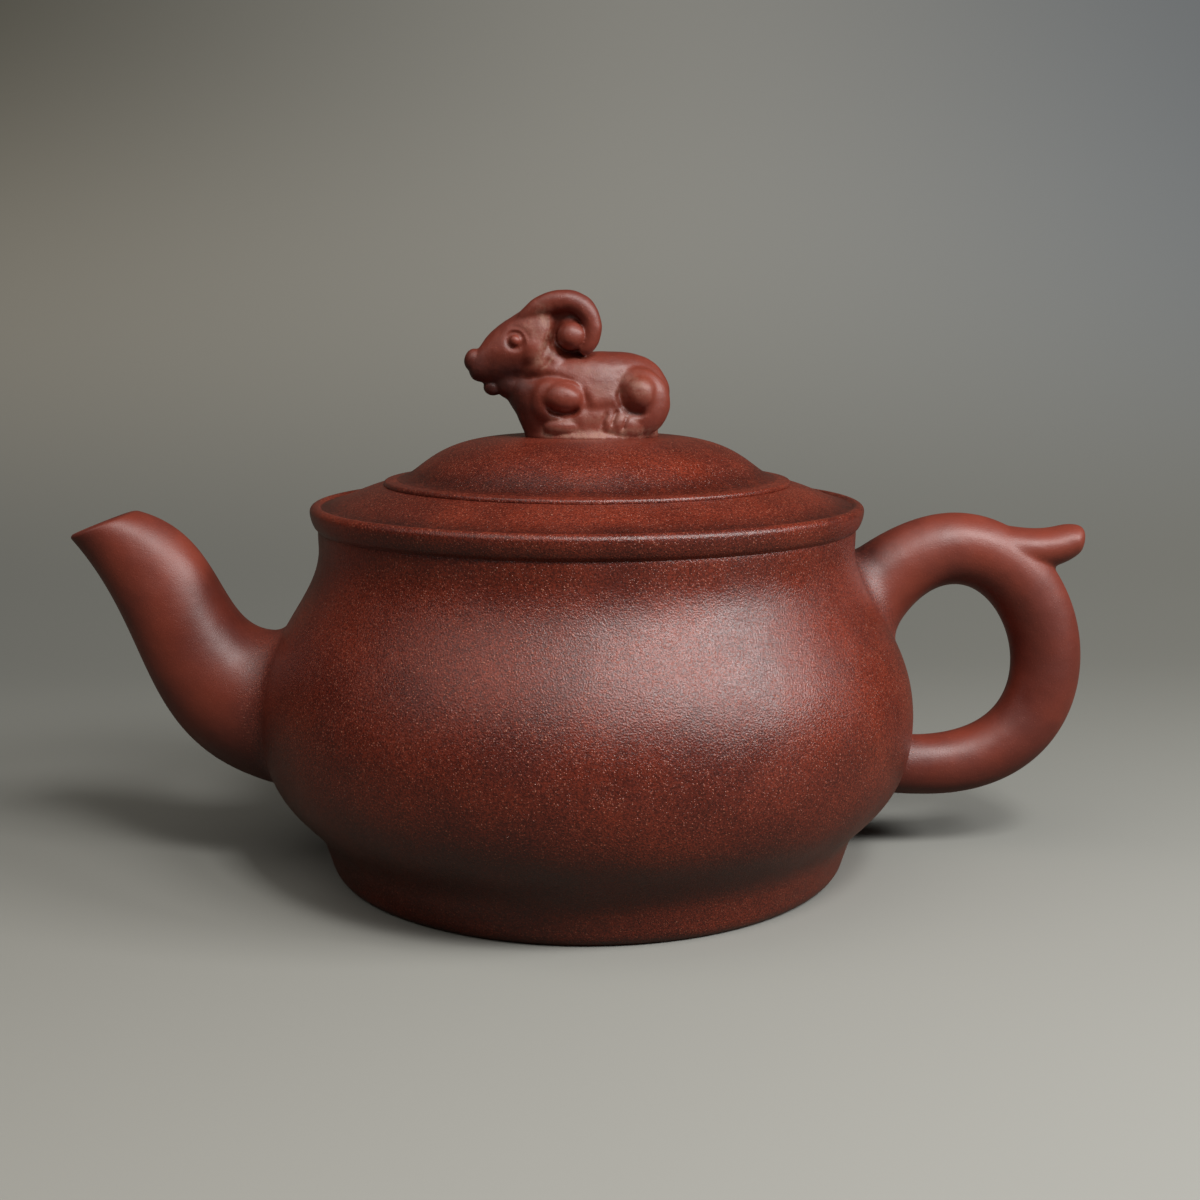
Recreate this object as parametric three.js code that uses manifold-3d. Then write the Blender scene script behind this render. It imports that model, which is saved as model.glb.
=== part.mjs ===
// A clay teapot with a curved spout, an ear-shaped handle and a crouching ram for the lid's knob.
// Millimetres, +Z up. The origin is on the pot's axis at the table; +X points at the handle.
// A potter makes each piece below by itself and lutes it to its neighbour with slip before firing.

import * as THREE from "three";
import { mergeVertices } from "three/addons/utils/BufferGeometryUtils.js";
import Module from "manifold-3d";

const wasm = await Module();
wasm.setup();

// Pot: a foot ring, a bottom disc, and a belly that draws in to a short neck.
const footContactRadius = 38.4;
const footFlare = 1.7;
const footRingHeight = 2.6;
const footRingWidth = 4.2;
const footRingDraft = 0.65;
const bottomFlare = 0.9;
const bottomThickness = 2.8;
const bellyRadius = 50;
const bellyHeight = 24;
const neckRadius = 40.4;
const neckHeight = 50;
const neckLength = 2.8;
const wallThickness = 3;

// Rim: a rounded coil on the wall's edge, and the shoulder slab that it frames.
const rimOverhang = 1.35;
const rimCoilWidth = 3.7;
const rimCoilHeight = 4.3;
const rimCoilFlat = 0.55;
const grooveDepth = 0.6;
const shoulderRise = 6.3;
const shoulderThickness = 3.2;
const shoulderHeel = 0.75;
const mouthRadius = 27.9;

// Lid: a thin plate, a hollow dome on it, and a flange that drops into the mouth.
const lidOverlap = 3.3;
const lidSeatMargin = 0.4;
const lidPlateThickness = 0.95;
const lidEdgeRound = 0.3;
const lidEdgeWidth = 2;
const flangeClearance = 0.4;
const flangeThickness = 2.4;
const flangeDepth = 5.6;
const flangeLeadIn = 0.5;
const flangeLeadInHeight = 0.8;
const domeHeight = 6.1;
const domeThickness = 2.8;
const knobSeatMargin = 0.5;
const ventRadius = 1.1;
const ventOffset = 14.5;

// Spout: a cannon shape, tall at its root and cut obliquely at its lip; its length is past the belly.
const spoutLength = 28;
const spoutTipHeight = 51;
const spoutLipLength = 9.8;
const spoutLipRiseHeight = 4.3;
const spoutRootBottomHeight = 12.2;
const spoutRootTopHeight = 36.9;
const spoutRootBottomDepth = 0.5;
const spoutRootTopDepth = 1.2;
const spoutRootHalfWidth = 10.8;
const spoutMiddleHalfWidth = 7.4;
const spoutLipHalfWidth = 4.9;
const spoutRootWall = 3.2;
const spoutLipWall = 1.7;

// Strainer: a pierced clay dome on a collar, set in a round hole of the wall behind the spout.
const strainerRadius = 7.6;
const strainerThickness = 1.5;
const strainerCollarLength = 2.6;
const strainerHoleRadius = 0.9;
const strainerInset = 1.2;

// Handle: a round roll bent like an ear, as long as it stands out past the belly, with a thumb rest
// like a flying tail on its crown.
const handleLength = 28.2;
const handleOutermostHeight = 30.1;
const handleRootHeight = 34.9;
const handleRootDepth = 8.8;
const handleFootHeight = 15.1;
const handleFootDepth = 5;
const handleTopThickness = 11.2;
const handleFootThickness = 9.2;
const handleRootFlareThickness = 3.6;
const handleRootFlareLength = 27;
const handleFootFlareThickness = 0.6;
const handleFootFlareLength = 11;
const handleWidthRatio = 0.94;
const thumbRestInset = 1.3;
const thumbRestRise = 3;
const thumbRestLength = 18.9;
const thumbRestDip = 1.9;
const thumbRestThickness = 5.9;
const thumbRestWidth = 7;

// Ram's body: a loaf of clay. The ram looks along -X, towards the spout.
const ramBaseHalfLength = 10.2;
const ramHeight = 12.9;
const ramHalfWidth = 6.3;
const ramCentre = 0.3;

// Ram's head: a share is how far along the head from the back of the skull, a lift how far above it.
const headForward = 2.4;
const headLift = 3.6;
const headLength = 16.3;
const headTilt = 23.9;
const headRadius = 5;
const headWidthRatio = 0.9;
const muzzleRadius = 2.6;
const cheekShare = 0.36;
const muzzleRoundShare = 0.1;
const neckShare = 0.446;
const neckDrop = 4.3;
const neckHalfLength = 4.4;
const neckHalfWidth = 4.2;
const neckHalfHeight = 6;
const noseRadius = 1.5;
const noseShare = 0.956;
const noseLift = 0.9;
const beardRadius = 1.35;
const beardShare = 0.876;
const beardDrop = 3.8;
const eyeRadius = 1.25;
const eyeShare = 0.548;
const eyeLift = 1.55;

// Ram's horns: tapered rolls that rise from the brow and curl down round a bud of clay.
const curlShare = 0.05;
const curlDrop = 1.1;
const curlRadius = 3;
const curlRootReach = 6.5;
const hornRootAngle = 156;
const hornEndAngle = -38;
const hornRootRadius = 1.8;
const hornTipRadius = 1.1;
const hornRootOffset = 1.9;
const hornInset = 0.4;
const hornSpreadPace = 1.8;
const hornBudHalfLength = 2;
const hornBudHalfWidth = 1.7;
const hornBudHalfHeight = 2.3;
const hornBudDrop = 0.4;

// Ram's folded legs: a knee or thigh pellet over a long foot pad, pressed to the loaf's flank.
const legInset = 0.6;
const kneeRadius = 2.6;
const kneeForward = 3.9;
const kneeHeight = 5.3;
const forearmBack = 1;
const forearmHalfLength = 4.4;
const thighRadius = 2.8;
const thighInset = 2.5;
const thighHeight = 6.6;
const thighHalfHeight = 3.7;
const hindFootForward = 1.6;
const hindFootHalfLength = 4;
const footPadHalfHeight = 1.9;
const footPadHalfWidth = 2;
const footPadPress = 0.3;
const legFlatness = 0.8;

// Where one piece is scribed to another, a joint of slip this thick lies between them.
const slipJoint = 0.3;

// How each curve bends: the heading in degrees with which it leaves its start and reaches its end,
// and how far it holds to each, as a share of the distance between them.
const footEdgeBend = { leaves: 22.6, leavesHold: 0.28, arrives: 76.6, arrivesHold: 0.46 };
const bellyRiseBend = { leaves: 70.6, leavesHold: 0.271, arrives: 90, arrivesHold: 0.6 };
const bellyFallBend = { leaves: 90, leavesHold: 0.462, arrives: 90, arrivesHold: 0.292 };
const shoulderBend = { leaves: 140, leavesHold: 0.29, arrives: 173.7, arrivesHold: 0.4 };
const domeBend = { leaves: 171, leavesHold: 0.2, arrives: 180, arrivesHold: 0.675 };
const spoutUnderBend = { leaves: 166, leavesHold: 0.496, arrives: 131, arrivesHold: 0.407 };
const spoutUpperBend = { leaves: 192.5, leavesHold: 0.429, arrives: 166, arrivesHold: 0.52 };
const handleUpperBend = { leaves: 56.7, leavesHold: 0.898, arrives: -90, arrivesHold: 0.429 };
const handleLowerBend = { leaves: -90, leavesHold: 0.306, arrives: 167.8, arrivesHold: 0.665 };
const thumbRestBend = { leaves: 8, leavesHold: 0.42, arrives: 60, arrivesHold: 0.42 };
const ramSideBend = { leaves: 56.3, leavesHold: 0.471, arrives: 180, arrivesHold: 0.717 };

// Facets of the round forms, and the least radius that a rounded end is drawn down to.
const roundSegments = 40;
const pierceSides = 20;
const smallRoundSides = 12;
const spoutSides = 16;
const spoutSteps = 11;
const handleSides = 14;
const handleSteps = 22;
const endRadius = 0.05;

const footTopRadius = footContactRadius + footFlare;
const bottomRadius = footTopRadius + bottomFlare;
const bottomTop = footRingHeight + bottomThickness;
const wallTopHeight = neckHeight + neckLength;
const rimRadius = neckRadius + rimOverhang;
const rimInnerRadius = rimRadius - rimCoilWidth + rimCoilFlat;
const rimTopHeight = wallTopHeight + rimCoilHeight;
const lidSeatHeight = wallTopHeight + shoulderRise;
const lidRadius = mouthRadius + lidOverlap;
const lidPlateTop = lidSeatHeight + lidPlateThickness;
const domeTop = lidPlateTop + domeHeight;
const flangeRadius = mouthRadius - flangeClearance;
const flangeInnerRadius = flangeRadius - flangeThickness;
const spoutReach = bellyRadius + spoutLength;
const spoutRootHeight = (spoutRootBottomHeight + spoutRootTopHeight) / 2;
const handleReach = bellyRadius + handleLength;

const colours = { grainedClay: 0x6f3228, smoothClay: 0x70372c };
const clay = (colour) =>
  new THREE.MeshStandardMaterial({ color: colour, roughness: 0.55, metalness: 0 });

const at = (x, y) => new THREE.Vector2(x, y);
const degrees = THREE.MathUtils.degToRad;
const { lerp, smoothstep, mapLinear } = THREE.MathUtils;
const heading = (angle) => at(Math.cos(degrees(angle)), Math.sin(degrees(angle)));

function bentCurve(start, end, bend) {
  const distance = start.distanceTo(end);
  const afterStart = heading(bend.leaves).multiplyScalar(bend.leavesHold * distance).add(start);
  const beforeEnd = heading(bend.arrives).multiplyScalar(-bend.arrivesHold * distance).add(end);
  return new THREE.CubicBezierCurve(start, afterStart, beforeEnd, end);
}

// A closed profile of radius and height, turned about the Z axis.
function turned(profile, segments = roundSegments) {
  return new THREE.LatheGeometry(profile, segments).rotateX(Math.PI / 2);
}

function solidOf(geometry) {
  const bare = geometry.clone();
  bare.deleteAttribute("normal");
  bare.deleteAttribute("uv");
  const merged = mergeVertices(bare, 1e-4);
  return new wasm.Manifold(
    new wasm.Mesh({
      numProp: 3,
      vertProperties: new Float32Array(merged.attributes.position.array),
      triVerts: new Uint32Array(merged.index.array),
    }),
  );
}

function geometryOf(solid) {
  const { vertProperties, triVerts } = solid.getMesh();
  const geometry = new THREE.BufferGeometry();
  geometry.setAttribute("position", new THREE.BufferAttribute(vertProperties, 3));
  geometry.setIndex(new THREE.BufferAttribute(triVerts, 1));
  geometry.computeVertexNormals();
  return geometry;
}

const join = (shapes) => shapes.map(solidOf).reduce((whole, next) => whole.add(next));
const cutBy = (solid, shapes) =>
  shapes.map(solidOf).reduce((rest, tool) => rest.subtract(tool), solid);

// A solid made of rings along a path: section(t) gives each ring's centre and its two half axes.
function loft(sides, steps, section) {
  const shape = new THREE.CylinderGeometry(1, 1, 1, sides, steps);
  const places = shape.getAttribute("position");
  for (let i = 0; i < places.count; i += 1) {
    const { centre, across, depth } = section(places.getY(i) + 0.5);
    const place = centre
      .clone()
      .addScaledVector(across, places.getX(i))
      .addScaledVector(depth, places.getZ(i));
    places.setXYZ(i, place.x, place.y, place.z);
  }
  return shape;
}

// A roll of clay along a curve in the XZ plane, with its half thickness and half width along it.
function roll(curve, halfThickness, halfWidth, sides, steps, pace = (t) => t) {
  return loft(sides, steps, (step) => {
    const t = pace(step);
    const point = curve.getPoint(t);
    const along = curve.getTangent(t);
    return {
      centre: new THREE.Vector3(point.x, 0, point.y),
      across: new THREE.Vector3(-along.y, 0, along.x).multiplyScalar(halfThickness(t)),
      depth: new THREE.Vector3(0, halfWidth(t), 0),
    };
  });
}

// A ball of clay, pressed to the given half length, half width and half height.
function pellet(place, halfSizes, sides = smallRoundSides, rings = 8) {
  return new THREE.SphereGeometry(1, sides, rings)
    .rotateX(Math.PI / 2)
    .scale(...halfSizes)
    .translate(...place);
}

const tinyBall = (place, radius) => pellet(place, [radius, radius, radius], 8, 6);

// 1 along a piece, falling in a quarter round to 0 over its last share.
const roundedEnd = (t, share) => Math.sqrt(1 - Math.max(0, (t - 1 + share) / share) ** 2);

const teapot = new THREE.Group();
const lid = new THREE.Group();
const ram = new THREE.Group();
ram.position.z = domeTop;
teapot.add(lid);
lid.add(ram);

function addPiece(group, name, geometry, colour = colours.smoothClay) {
  const mesh = new THREE.Mesh(geometry, clay(colour));
  mesh.name = name;
  group.add(mesh);
}

// Outline of the pot from its bottom disc to the top of its wall.
const belly = at(bellyRadius, bellyHeight);
const bellyRise = bentCurve(at(bottomRadius, bottomTop), belly, bellyRiseBend);
const bellyFall = bentCurve(belly, at(neckRadius, neckHeight), bellyFallBend);
const wallOutline = [
  ...bellyRise.getPoints(7),
  ...bellyFall.getPoints(8).slice(1),
  at(neckRadius, wallTopHeight),
];

function potRadiusAt(height) {
  const above = wallOutline.findIndex((point) => point.y >= height);
  if (above <= 0) return above === 0 ? wallOutline[0].x : neckRadius;
  const low = wallOutline[above - 1];
  const high = wallOutline[above];
  return mapLinear(height, low.y, high.y, low.x, high.x);
}

// The pot's outside as one body, a slip joint larger, to scribe the spout and handle against.
const potBlank = turned([
  at(0, 0),
  at(footTopRadius + slipJoint, 0),
  ...wallOutline.slice(0, -1).map((point) => at(point.x + slipJoint, point.y)),
  at(neckRadius + slipJoint, wallTopHeight - slipJoint),
  at(rimRadius + slipJoint, wallTopHeight - slipJoint),
  at(rimRadius + slipJoint, rimTopHeight + slipJoint),
  at(0, rimTopHeight + slipJoint),
]);

function makeFootRing() {
  const inner = footContactRadius - footRingWidth;
  const contactEdge = at(footContactRadius, 0);
  const roundedSide = bentCurve(contactEdge, at(footTopRadius, footRingHeight), footEdgeBend);
  const profile = [
    at(inner, 0),
    ...roundedSide.getPoints(3),
    at(inner - footRingDraft, footRingHeight),
    at(inner, 0),
  ];
  addPiece(teapot, "foot_ring", turned(profile), colours.grainedClay);
}

function makeBottomDisc() {
  const profile = [
    at(0, footRingHeight),
    at(footTopRadius, footRingHeight),
    at(bottomRadius, bottomTop),
    at(0, bottomTop),
  ];
  addPiece(teapot, "bottom_disc", turned(profile), colours.grainedClay);
}

// The wall is a beaten slab of even thickness, with a round hole for the strainer.
function makeBodyWall() {
  const inside = wallOutline.map((point) => at(point.x - wallThickness, point.y)).reverse();
  const profile = [...wallOutline, ...inside, wallOutline[0].clone()];
  const holeRadius = strainerRadius + slipJoint;
  const hole = new THREE.CylinderGeometry(holeRadius, holeRadius, bellyRadius, pierceSides)
    .rotateZ(Math.PI / 2)
    .translate(-bellyRadius, 0, spoutRootHeight);
  const wall = cutBy(solidOf(turned(profile)), [hole]);
  addPiece(teapot, "body_wall", geometryOf(wall), colours.grainedClay);
}

// The coil is round outside; its inner side is pressed flat against the shoulder slab.
function makeRimCoil() {
  const halfWidth = rimCoilWidth / 2;
  const halfHeight = rimCoilHeight / 2;
  const middleHeight = wallTopHeight + halfHeight;
  const endAngle = degrees(100);
  const bulge = new THREE.EllipseCurve(
    rimRadius - halfWidth, middleHeight, halfWidth, halfHeight, -Math.PI / 2, endAngle,
  );
  const profile = [
    at(rimInnerRadius, wallTopHeight),
    ...bulge.getPoints(8),
    at(rimInnerRadius, rimTopHeight - grooveDepth),
    at(rimInnerRadius, wallTopHeight),
  ];
  addPiece(teapot, "rim_coil", turned(profile), colours.grainedClay);
}

function makeShoulderSlab() {
  const groove = at(rimInnerRadius, rimTopHeight - grooveDepth);
  const seatEdge = at(lidRadius + lidSeatMargin, lidSeatHeight);
  const undersideAtMouth = at(mouthRadius, lidSeatHeight - shoulderThickness);
  const profile = [
    undersideAtMouth,
    at(neckRadius - wallThickness - shoulderHeel, wallTopHeight),
    at(rimInnerRadius, wallTopHeight),
    ...bentCurve(groove, seatEdge, shoulderBend).getPoints(5),
    at(mouthRadius, lidSeatHeight),
    undersideAtMouth,
  ];
  addPiece(teapot, "shoulder_slab", turned(profile), colours.grainedClay);
}

const spoutUnderEdge = bentCurve(
  at(spoutRootBottomDepth - potRadiusAt(spoutRootBottomHeight), spoutRootBottomHeight),
  at(-spoutReach, spoutTipHeight),
  spoutUnderBend,
);
const spoutUpperEdge = bentCurve(
  at(spoutRootTopDepth - potRadiusAt(spoutRootTopHeight), spoutRootTopHeight),
  at(spoutLipLength - spoutReach, spoutTipHeight + spoutLipRiseHeight),
  spoutUpperBend,
);

// Rings between the two edges of the spout, drawn in by the wall's thickness for its bore.
function spoutLoft(start, end, wallAt) {
  return loft(spoutSides, spoutSteps, (step) => {
    const t = lerp(start, end, step);
    const low = spoutUnderEdge.getPoint(t);
    const high = spoutUpperEdge.getPoint(t);
    const halfHeight = low.distanceTo(high) / 2 - wallAt(t);
    const across = low.clone().sub(high).normalize();
    const halfWidth =
      (1 - t) * (1 - t) * spoutRootHalfWidth +
      2 * t * (1 - t) * spoutMiddleHalfWidth +
      t * t * spoutLipHalfWidth;
    return {
      centre: new THREE.Vector3((low.x + high.x) / 2, 0, (low.y + high.y) / 2),
      across: new THREE.Vector3(across.x, 0, across.y).multiplyScalar(halfHeight),
      depth: new THREE.Vector3(0, halfWidth - wallAt(t), 0),
    };
  });
}

function makeSpout() {
  const runPast = 0.05;
  const outside = spoutLoft(0, 1, () => 0);
  const bore = spoutLoft(-runPast, 1 + runPast, (t) => lerp(spoutRootWall, spoutLipWall, t));
  addPiece(teapot, "spout", geometryOf(cutBy(solidOf(outside), [bore, potBlank])));
}

// A short collar with half a ball on it, pierced in rings round its middle.
function makeStrainer() {
  const quarterRound = (radius) =>
    new THREE.EllipseCurve(0, strainerCollarLength, radius, radius, 0, Math.PI / 2).getPoints(4);
  const innerRadius = strainerRadius - strainerThickness;
  const profile = [
    at(innerRadius, 0),
    at(strainerRadius, 0),
    ...quarterRound(strainerRadius),
    ...quarterRound(innerRadius).reverse(),
    at(innerRadius, 0),
  ];
  const rings = [
    { count: 1, tilt: 0 },
    { count: 6, tilt: 30 },
    { count: 10, tilt: 60 },
  ];
  const holes = rings.flatMap(({ count, tilt }) =>
    Array.from({ length: count }, (unused, i) =>
      new THREE.CylinderGeometry(strainerHoleRadius, strainerHoleRadius, strainerRadius, 6)
        .translate(0, strainerRadius, 0)
        .rotateZ(degrees(tilt))
        .rotateY((2 * Math.PI * i) / count)
        .translate(0, strainerCollarLength, 0),
    ),
  );
  const [shell, ...drills] = [new THREE.LatheGeometry(profile, 16), ...holes].map((shape) =>
    shape
      .rotateZ(-Math.PI / 2)
      .translate(strainerInset - potRadiusAt(spoutRootHeight), 0, spoutRootHeight),
  );
  addPiece(teapot, "strainer", geometryOf(cutBy(solidOf(shell), drills)));
}

// Centreline of the handle, from inside the neck over the crown and back into the belly.
const handleOutermost = at(
  handleReach - (handleTopThickness + handleFootThickness) / 4,
  handleOutermostHeight,
);
const handleRoot = at(potRadiusAt(handleRootHeight) - handleRootDepth, handleRootHeight);
const handleFoot = at(potRadiusAt(handleFootHeight) - handleFootDepth, handleFootHeight);
const handleCurve = new THREE.CurvePath();
handleCurve.add(bentCurve(handleRoot, handleOutermost, handleUpperBend));
handleCurve.add(bentCurve(handleOutermost, handleFoot, handleLowerBend));

function handleRoll(grow) {
  const length = handleCurve.getLength();
  const flare = (size, reach, distance) => size * Math.max(0, 1 - distance / reach) ** 2;
  const halfThickness = (t) =>
    lerp(handleTopThickness, handleFootThickness, t) / 2 +
    flare(handleRootFlareThickness, handleRootFlareLength, t * length) +
    flare(handleFootFlareThickness, handleFootFlareLength, (1 - t) * length);
  return roll(
    handleCurve,
    (t) => halfThickness(t) + grow,
    (t) => halfThickness(t) * handleWidthRatio + grow,
    handleSides,
    handleSteps,
  );
}

function makeHandle() {
  const handle = cutBy(solidOf(handleRoll(0)), [potBlank]);
  addPiece(teapot, "handle_loop", geometryOf(handle));

  const crownHeight = Math.max(...handleCurve.getSpacedPoints(handleSteps).map(({ y }) => y));
  const tip = at(handleReach - thumbRestInset, crownHeight + thumbRestRise);
  const root = at(tip.x - thumbRestLength, tip.y - thumbRestDip);
  const half = (size) => (t) => Math.max(endRadius, (size / 2) * roundedEnd(t, 0.2));
  const rest = roll(
    bentCurve(root, tip, thumbRestBend),
    half(thumbRestThickness),
    half(thumbRestWidth),
    smallRoundSides,
    smallRoundSides,
    (t) => Math.sin((t * Math.PI) / 2),
  );
  addPiece(teapot, "thumb_rest", geometryOf(cutBy(solidOf(rest), [handleRoll(slipJoint)])));
}

// The ram's flat seat on the dome is as wide as the ram's base is long.
function makeLid() {
  const plate = [
    at(flangeInnerRadius, lidSeatHeight),
    at(lidRadius - lidEdgeRound, lidSeatHeight),
    at(lidRadius, lidSeatHeight + lidPlateThickness / 2),
    at(lidRadius - lidEdgeRound, lidPlateTop),
    at(flangeInnerRadius, lidPlateTop),
    at(flangeInnerRadius, lidSeatHeight),
  ];
  addPiece(lid, "lid_plate", turned(plate), colours.grainedClay);

  const knobSeatRadius = ramBaseHalfLength + ramCentre + knobSeatMargin;
  const domeEdge = at(lidRadius - lidEdgeWidth, lidPlateTop);
  const seatEdge = at(knobSeatRadius, domeTop);
  const underEdge = at(flangeInnerRadius, lidPlateTop);
  const underSeatEdge = at(knobSeatRadius - domeThickness, domeTop - domeThickness);
  const dome = [
    at(0, domeTop - domeThickness),
    ...bentCurve(underEdge, underSeatEdge, domeBend).getPoints(5).reverse(),
    ...bentCurve(domeEdge, seatEdge, domeBend).getPoints(8),
    at(0, domeTop),
  ];
  const vent = new THREE.CylinderGeometry(ventRadius, ventRadius, 4 * domeThickness, smallRoundSides)
    .rotateX(Math.PI / 2)
    .translate(0, ventOffset, domeTop - domeThickness);
  const piercedDome = cutBy(solidOf(turned(dome)), [vent]);
  addPiece(lid, "lid_dome", geometryOf(piercedDome), colours.grainedClay);

  const flangeBottom = lidSeatHeight - flangeDepth;
  const flange = [
    at(flangeInnerRadius, flangeBottom),
    at(flangeRadius - flangeLeadIn, flangeBottom),
    at(flangeRadius, flangeBottom + flangeLeadInHeight),
    at(flangeRadius, lidSeatHeight),
    at(flangeInnerRadius, lidSeatHeight),
    at(flangeInnerRadius, flangeBottom),
  ];
  addPiece(lid, "lid_flange", turned(flange), colours.grainedClay);
}

// Grown by a slip joint to cut its neighbours, it also reaches a little below its seat.
function ramLoaf(grow) {
  const side = bentCurve(at(ramBaseHalfLength + grow, 0), at(0, ramHeight + grow), ramSideBend);
  const outline = side.getPoints(8);
  const widest = Math.max(...outline.map((point) => point.x));
  return turned([at(0, -grow), ...outline], 20)
    .scale(1, (ramHalfWidth + grow) / widest, 1)
    .translate(ramCentre, 0, 0);
}

const headDirection = heading(180 + headTilt);
const headBack = at(ramCentre - headForward, ramHeight + headLift);
const headFront = headDirection.clone().multiplyScalar(headLength).add(headBack);
const headAxis = new THREE.LineCurve(headBack, headFront);

// A place beside the middle plane of the head: its share along the head, lift above it and offset.
function onHead(share, lift, offset = 0) {
  const point = headAxis.getPoint(share);
  return [point.x + lift * headDirection.y, offset, point.y - lift * headDirection.x];
}

// Pear-shaped: round at the back of the skull, drawn in to the muzzle and rounded off there.
function headGirth(t) {
  const skull = Math.sqrt(1 - Math.max(0, 1 - t / cheekShare) ** 2);
  const drawnIn = lerp(headRadius, muzzleRadius, smoothstep(t, cheekShare, 1));
  return Math.max(endRadius, drawnIn * skull * roundedEnd(t, muzzleRoundShare));
}

function ramHead(grow) {
  const girth = (t) => headGirth(t) + grow;
  const width = (t) => headGirth(t) * headWidthRatio + grow;
  const slowAtBothEnds = (t) => (1 - Math.cos(Math.PI * t)) / 2;
  const head = roll(headAxis, girth, width, handleSides, smallRoundSides, slowAtBothEnds);
  const neckSizes = [neckHalfLength + grow, neckHalfWidth + grow, neckHalfHeight + grow];
  return [head, pellet(onHead(neckShare, -neckDrop), neckSizes)];
}

const hornSpread = headRadius * headWidthRatio - hornInset;
const curlCentre = onHead(curlShare, -curlDrop, hornSpread);

// Centre of the right horn's roll: from the brow (0) up, back and down round the curl (1).
function hornPoint(t) {
  const turn = heading(lerp(hornRootAngle, hornEndAngle, t));
  const reach = curlRadius + (curlRootReach - curlRadius) * (1 - t) ** 2;
  const spread = lerp(hornRootOffset, hornSpread, Math.min(1, hornSpreadPace * t));
  return new THREE.Vector3(curlCentre[0] + reach * turn.x, spread, curlCentre[2] + reach * turn.y);
}

function hornRoll() {
  const nudge = 0.01;
  return loft(8, smallRoundSides, (t) => {
    const along = hornPoint(t + nudge).sub(hornPoint(t - nudge)).normalize();
    const across = new THREE.Vector3(-along.z, 0, along.x).normalize();
    const depth = new THREE.Vector3().crossVectors(across, along);
    const radius = lerp(hornRootRadius, hornTipRadius, t);
    return {
      centre: hornPoint(t),
      across: across.multiplyScalar(radius),
      depth: depth.multiplyScalar(radius),
    };
  });
}

// Everything below the lid's flat knob seat, to trim the pellets that rest on it.
const belowSeat = new THREE.BoxGeometry(lidRadius, lidRadius, domeHeight).translate(
  0, 0, -domeHeight / 2,
);

// A piece for the ram's right side (+Y) and, mirrored, for its left.
function onBothSides(name, solid) {
  addPiece(ram, name + "_right", geometryOf(solid));
  addPiece(ram, name + "_left", geometryOf(solid.mirror([0, 1, 0])));
}

// A folded leg: a round knee or thigh, and a foot pad that lies on the seat below it.
function makeLeg(name, jointPlace, jointSizes, footX, footHalfLength) {
  const side = ramHalfWidth - legInset;
  const footPlace = [footX, side, footPadHalfHeight - footPadPress];
  const footSizes = [footHalfLength, footPadHalfWidth, footPadHalfHeight];
  const leg = join([
    pellet([jointPlace.x, side, jointPlace.y], jointSizes),
    pellet(footPlace, footSizes),
  ]);
  onBothSides(name, cutBy(leg, [ramLoaf(slipJoint), belowSeat]));
}

function makeRam() {
  const loafSeat = ramLoaf(slipJoint);
  const headSeat = ramHead(slipJoint);
  addPiece(ram, "ram_body", geometryOf(solidOf(ramLoaf(0))));
  addPiece(ram, "ram_head", geometryOf(cutBy(join(ramHead(0)), [loafSeat])));

  const nose = tinyBall(onHead(noseShare, noseLift), noseRadius);
  addPiece(ram, "ram_nose", geometryOf(cutBy(solidOf(nose), headSeat)));
  const beard = tinyBall(onHead(beardShare, -beardDrop), beardRadius);
  addPiece(ram, "ram_beard", geometryOf(cutBy(solidOf(beard), headSeat)));

  const bud = pellet(
    [curlCentre[0], hornSpread, curlCentre[2] - hornBudDrop],
    [hornBudHalfLength, hornBudHalfWidth, hornBudHalfHeight],
  );
  onBothSides("ram_horn", cutBy(join([hornRoll(), bud]), [...headSeat, loafSeat]));

  const eyeOffset = headGirth(eyeShare) * headWidthRatio;
  const eye = tinyBall(onHead(eyeShare, eyeLift, eyeOffset), eyeRadius);
  onBothSides("ram_eye", cutBy(solidOf(eye), headSeat));

  const knee = at(ramCentre - kneeForward, kneeHeight);
  const kneeSizes = [kneeRadius, kneeRadius * legFlatness, kneeRadius];
  makeLeg("ram_foreleg", knee, kneeSizes, knee.x + forearmBack, forearmHalfLength);

  const thigh = at(ramCentre + ramBaseHalfLength - thighInset, thighHeight);
  const thighSizes = [thighRadius, thighRadius * legFlatness, thighHalfHeight];
  makeLeg("ram_hindleg", thigh, thighSizes, thigh.x - hindFootForward, hindFootHalfLength);
}

makeFootRing();
makeBottomDisc();
makeBodyWall();
makeRimCoil();
makeShoulderSlab();
makeStrainer();
makeSpout();
makeHandle();
makeLid();
makeRam();

export default teapot;
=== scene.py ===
import math

import bmesh
import bpy
import numpy as np
from mathutils import Matrix, Vector, noise


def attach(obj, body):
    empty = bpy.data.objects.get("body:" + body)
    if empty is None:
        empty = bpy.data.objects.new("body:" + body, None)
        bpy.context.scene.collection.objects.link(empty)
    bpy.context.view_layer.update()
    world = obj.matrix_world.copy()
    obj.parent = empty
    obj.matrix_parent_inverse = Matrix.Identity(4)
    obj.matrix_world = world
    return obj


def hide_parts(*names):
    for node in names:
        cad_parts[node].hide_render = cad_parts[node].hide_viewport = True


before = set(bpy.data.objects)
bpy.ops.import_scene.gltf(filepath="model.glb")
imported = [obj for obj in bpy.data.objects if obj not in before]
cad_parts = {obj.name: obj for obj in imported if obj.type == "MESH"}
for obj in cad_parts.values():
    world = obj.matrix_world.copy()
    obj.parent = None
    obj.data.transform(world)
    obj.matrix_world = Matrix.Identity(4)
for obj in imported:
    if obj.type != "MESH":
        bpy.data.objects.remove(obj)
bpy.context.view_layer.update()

# Foot ring.
# The low flared ring of sandy red-brown clay that the pot stands on. The potter turns it on the wheel
# and lutes it to the bottom disc with slip, so that no seam shows outside.
FOOT_CONTACT_RADIUS = 38.4
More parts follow.
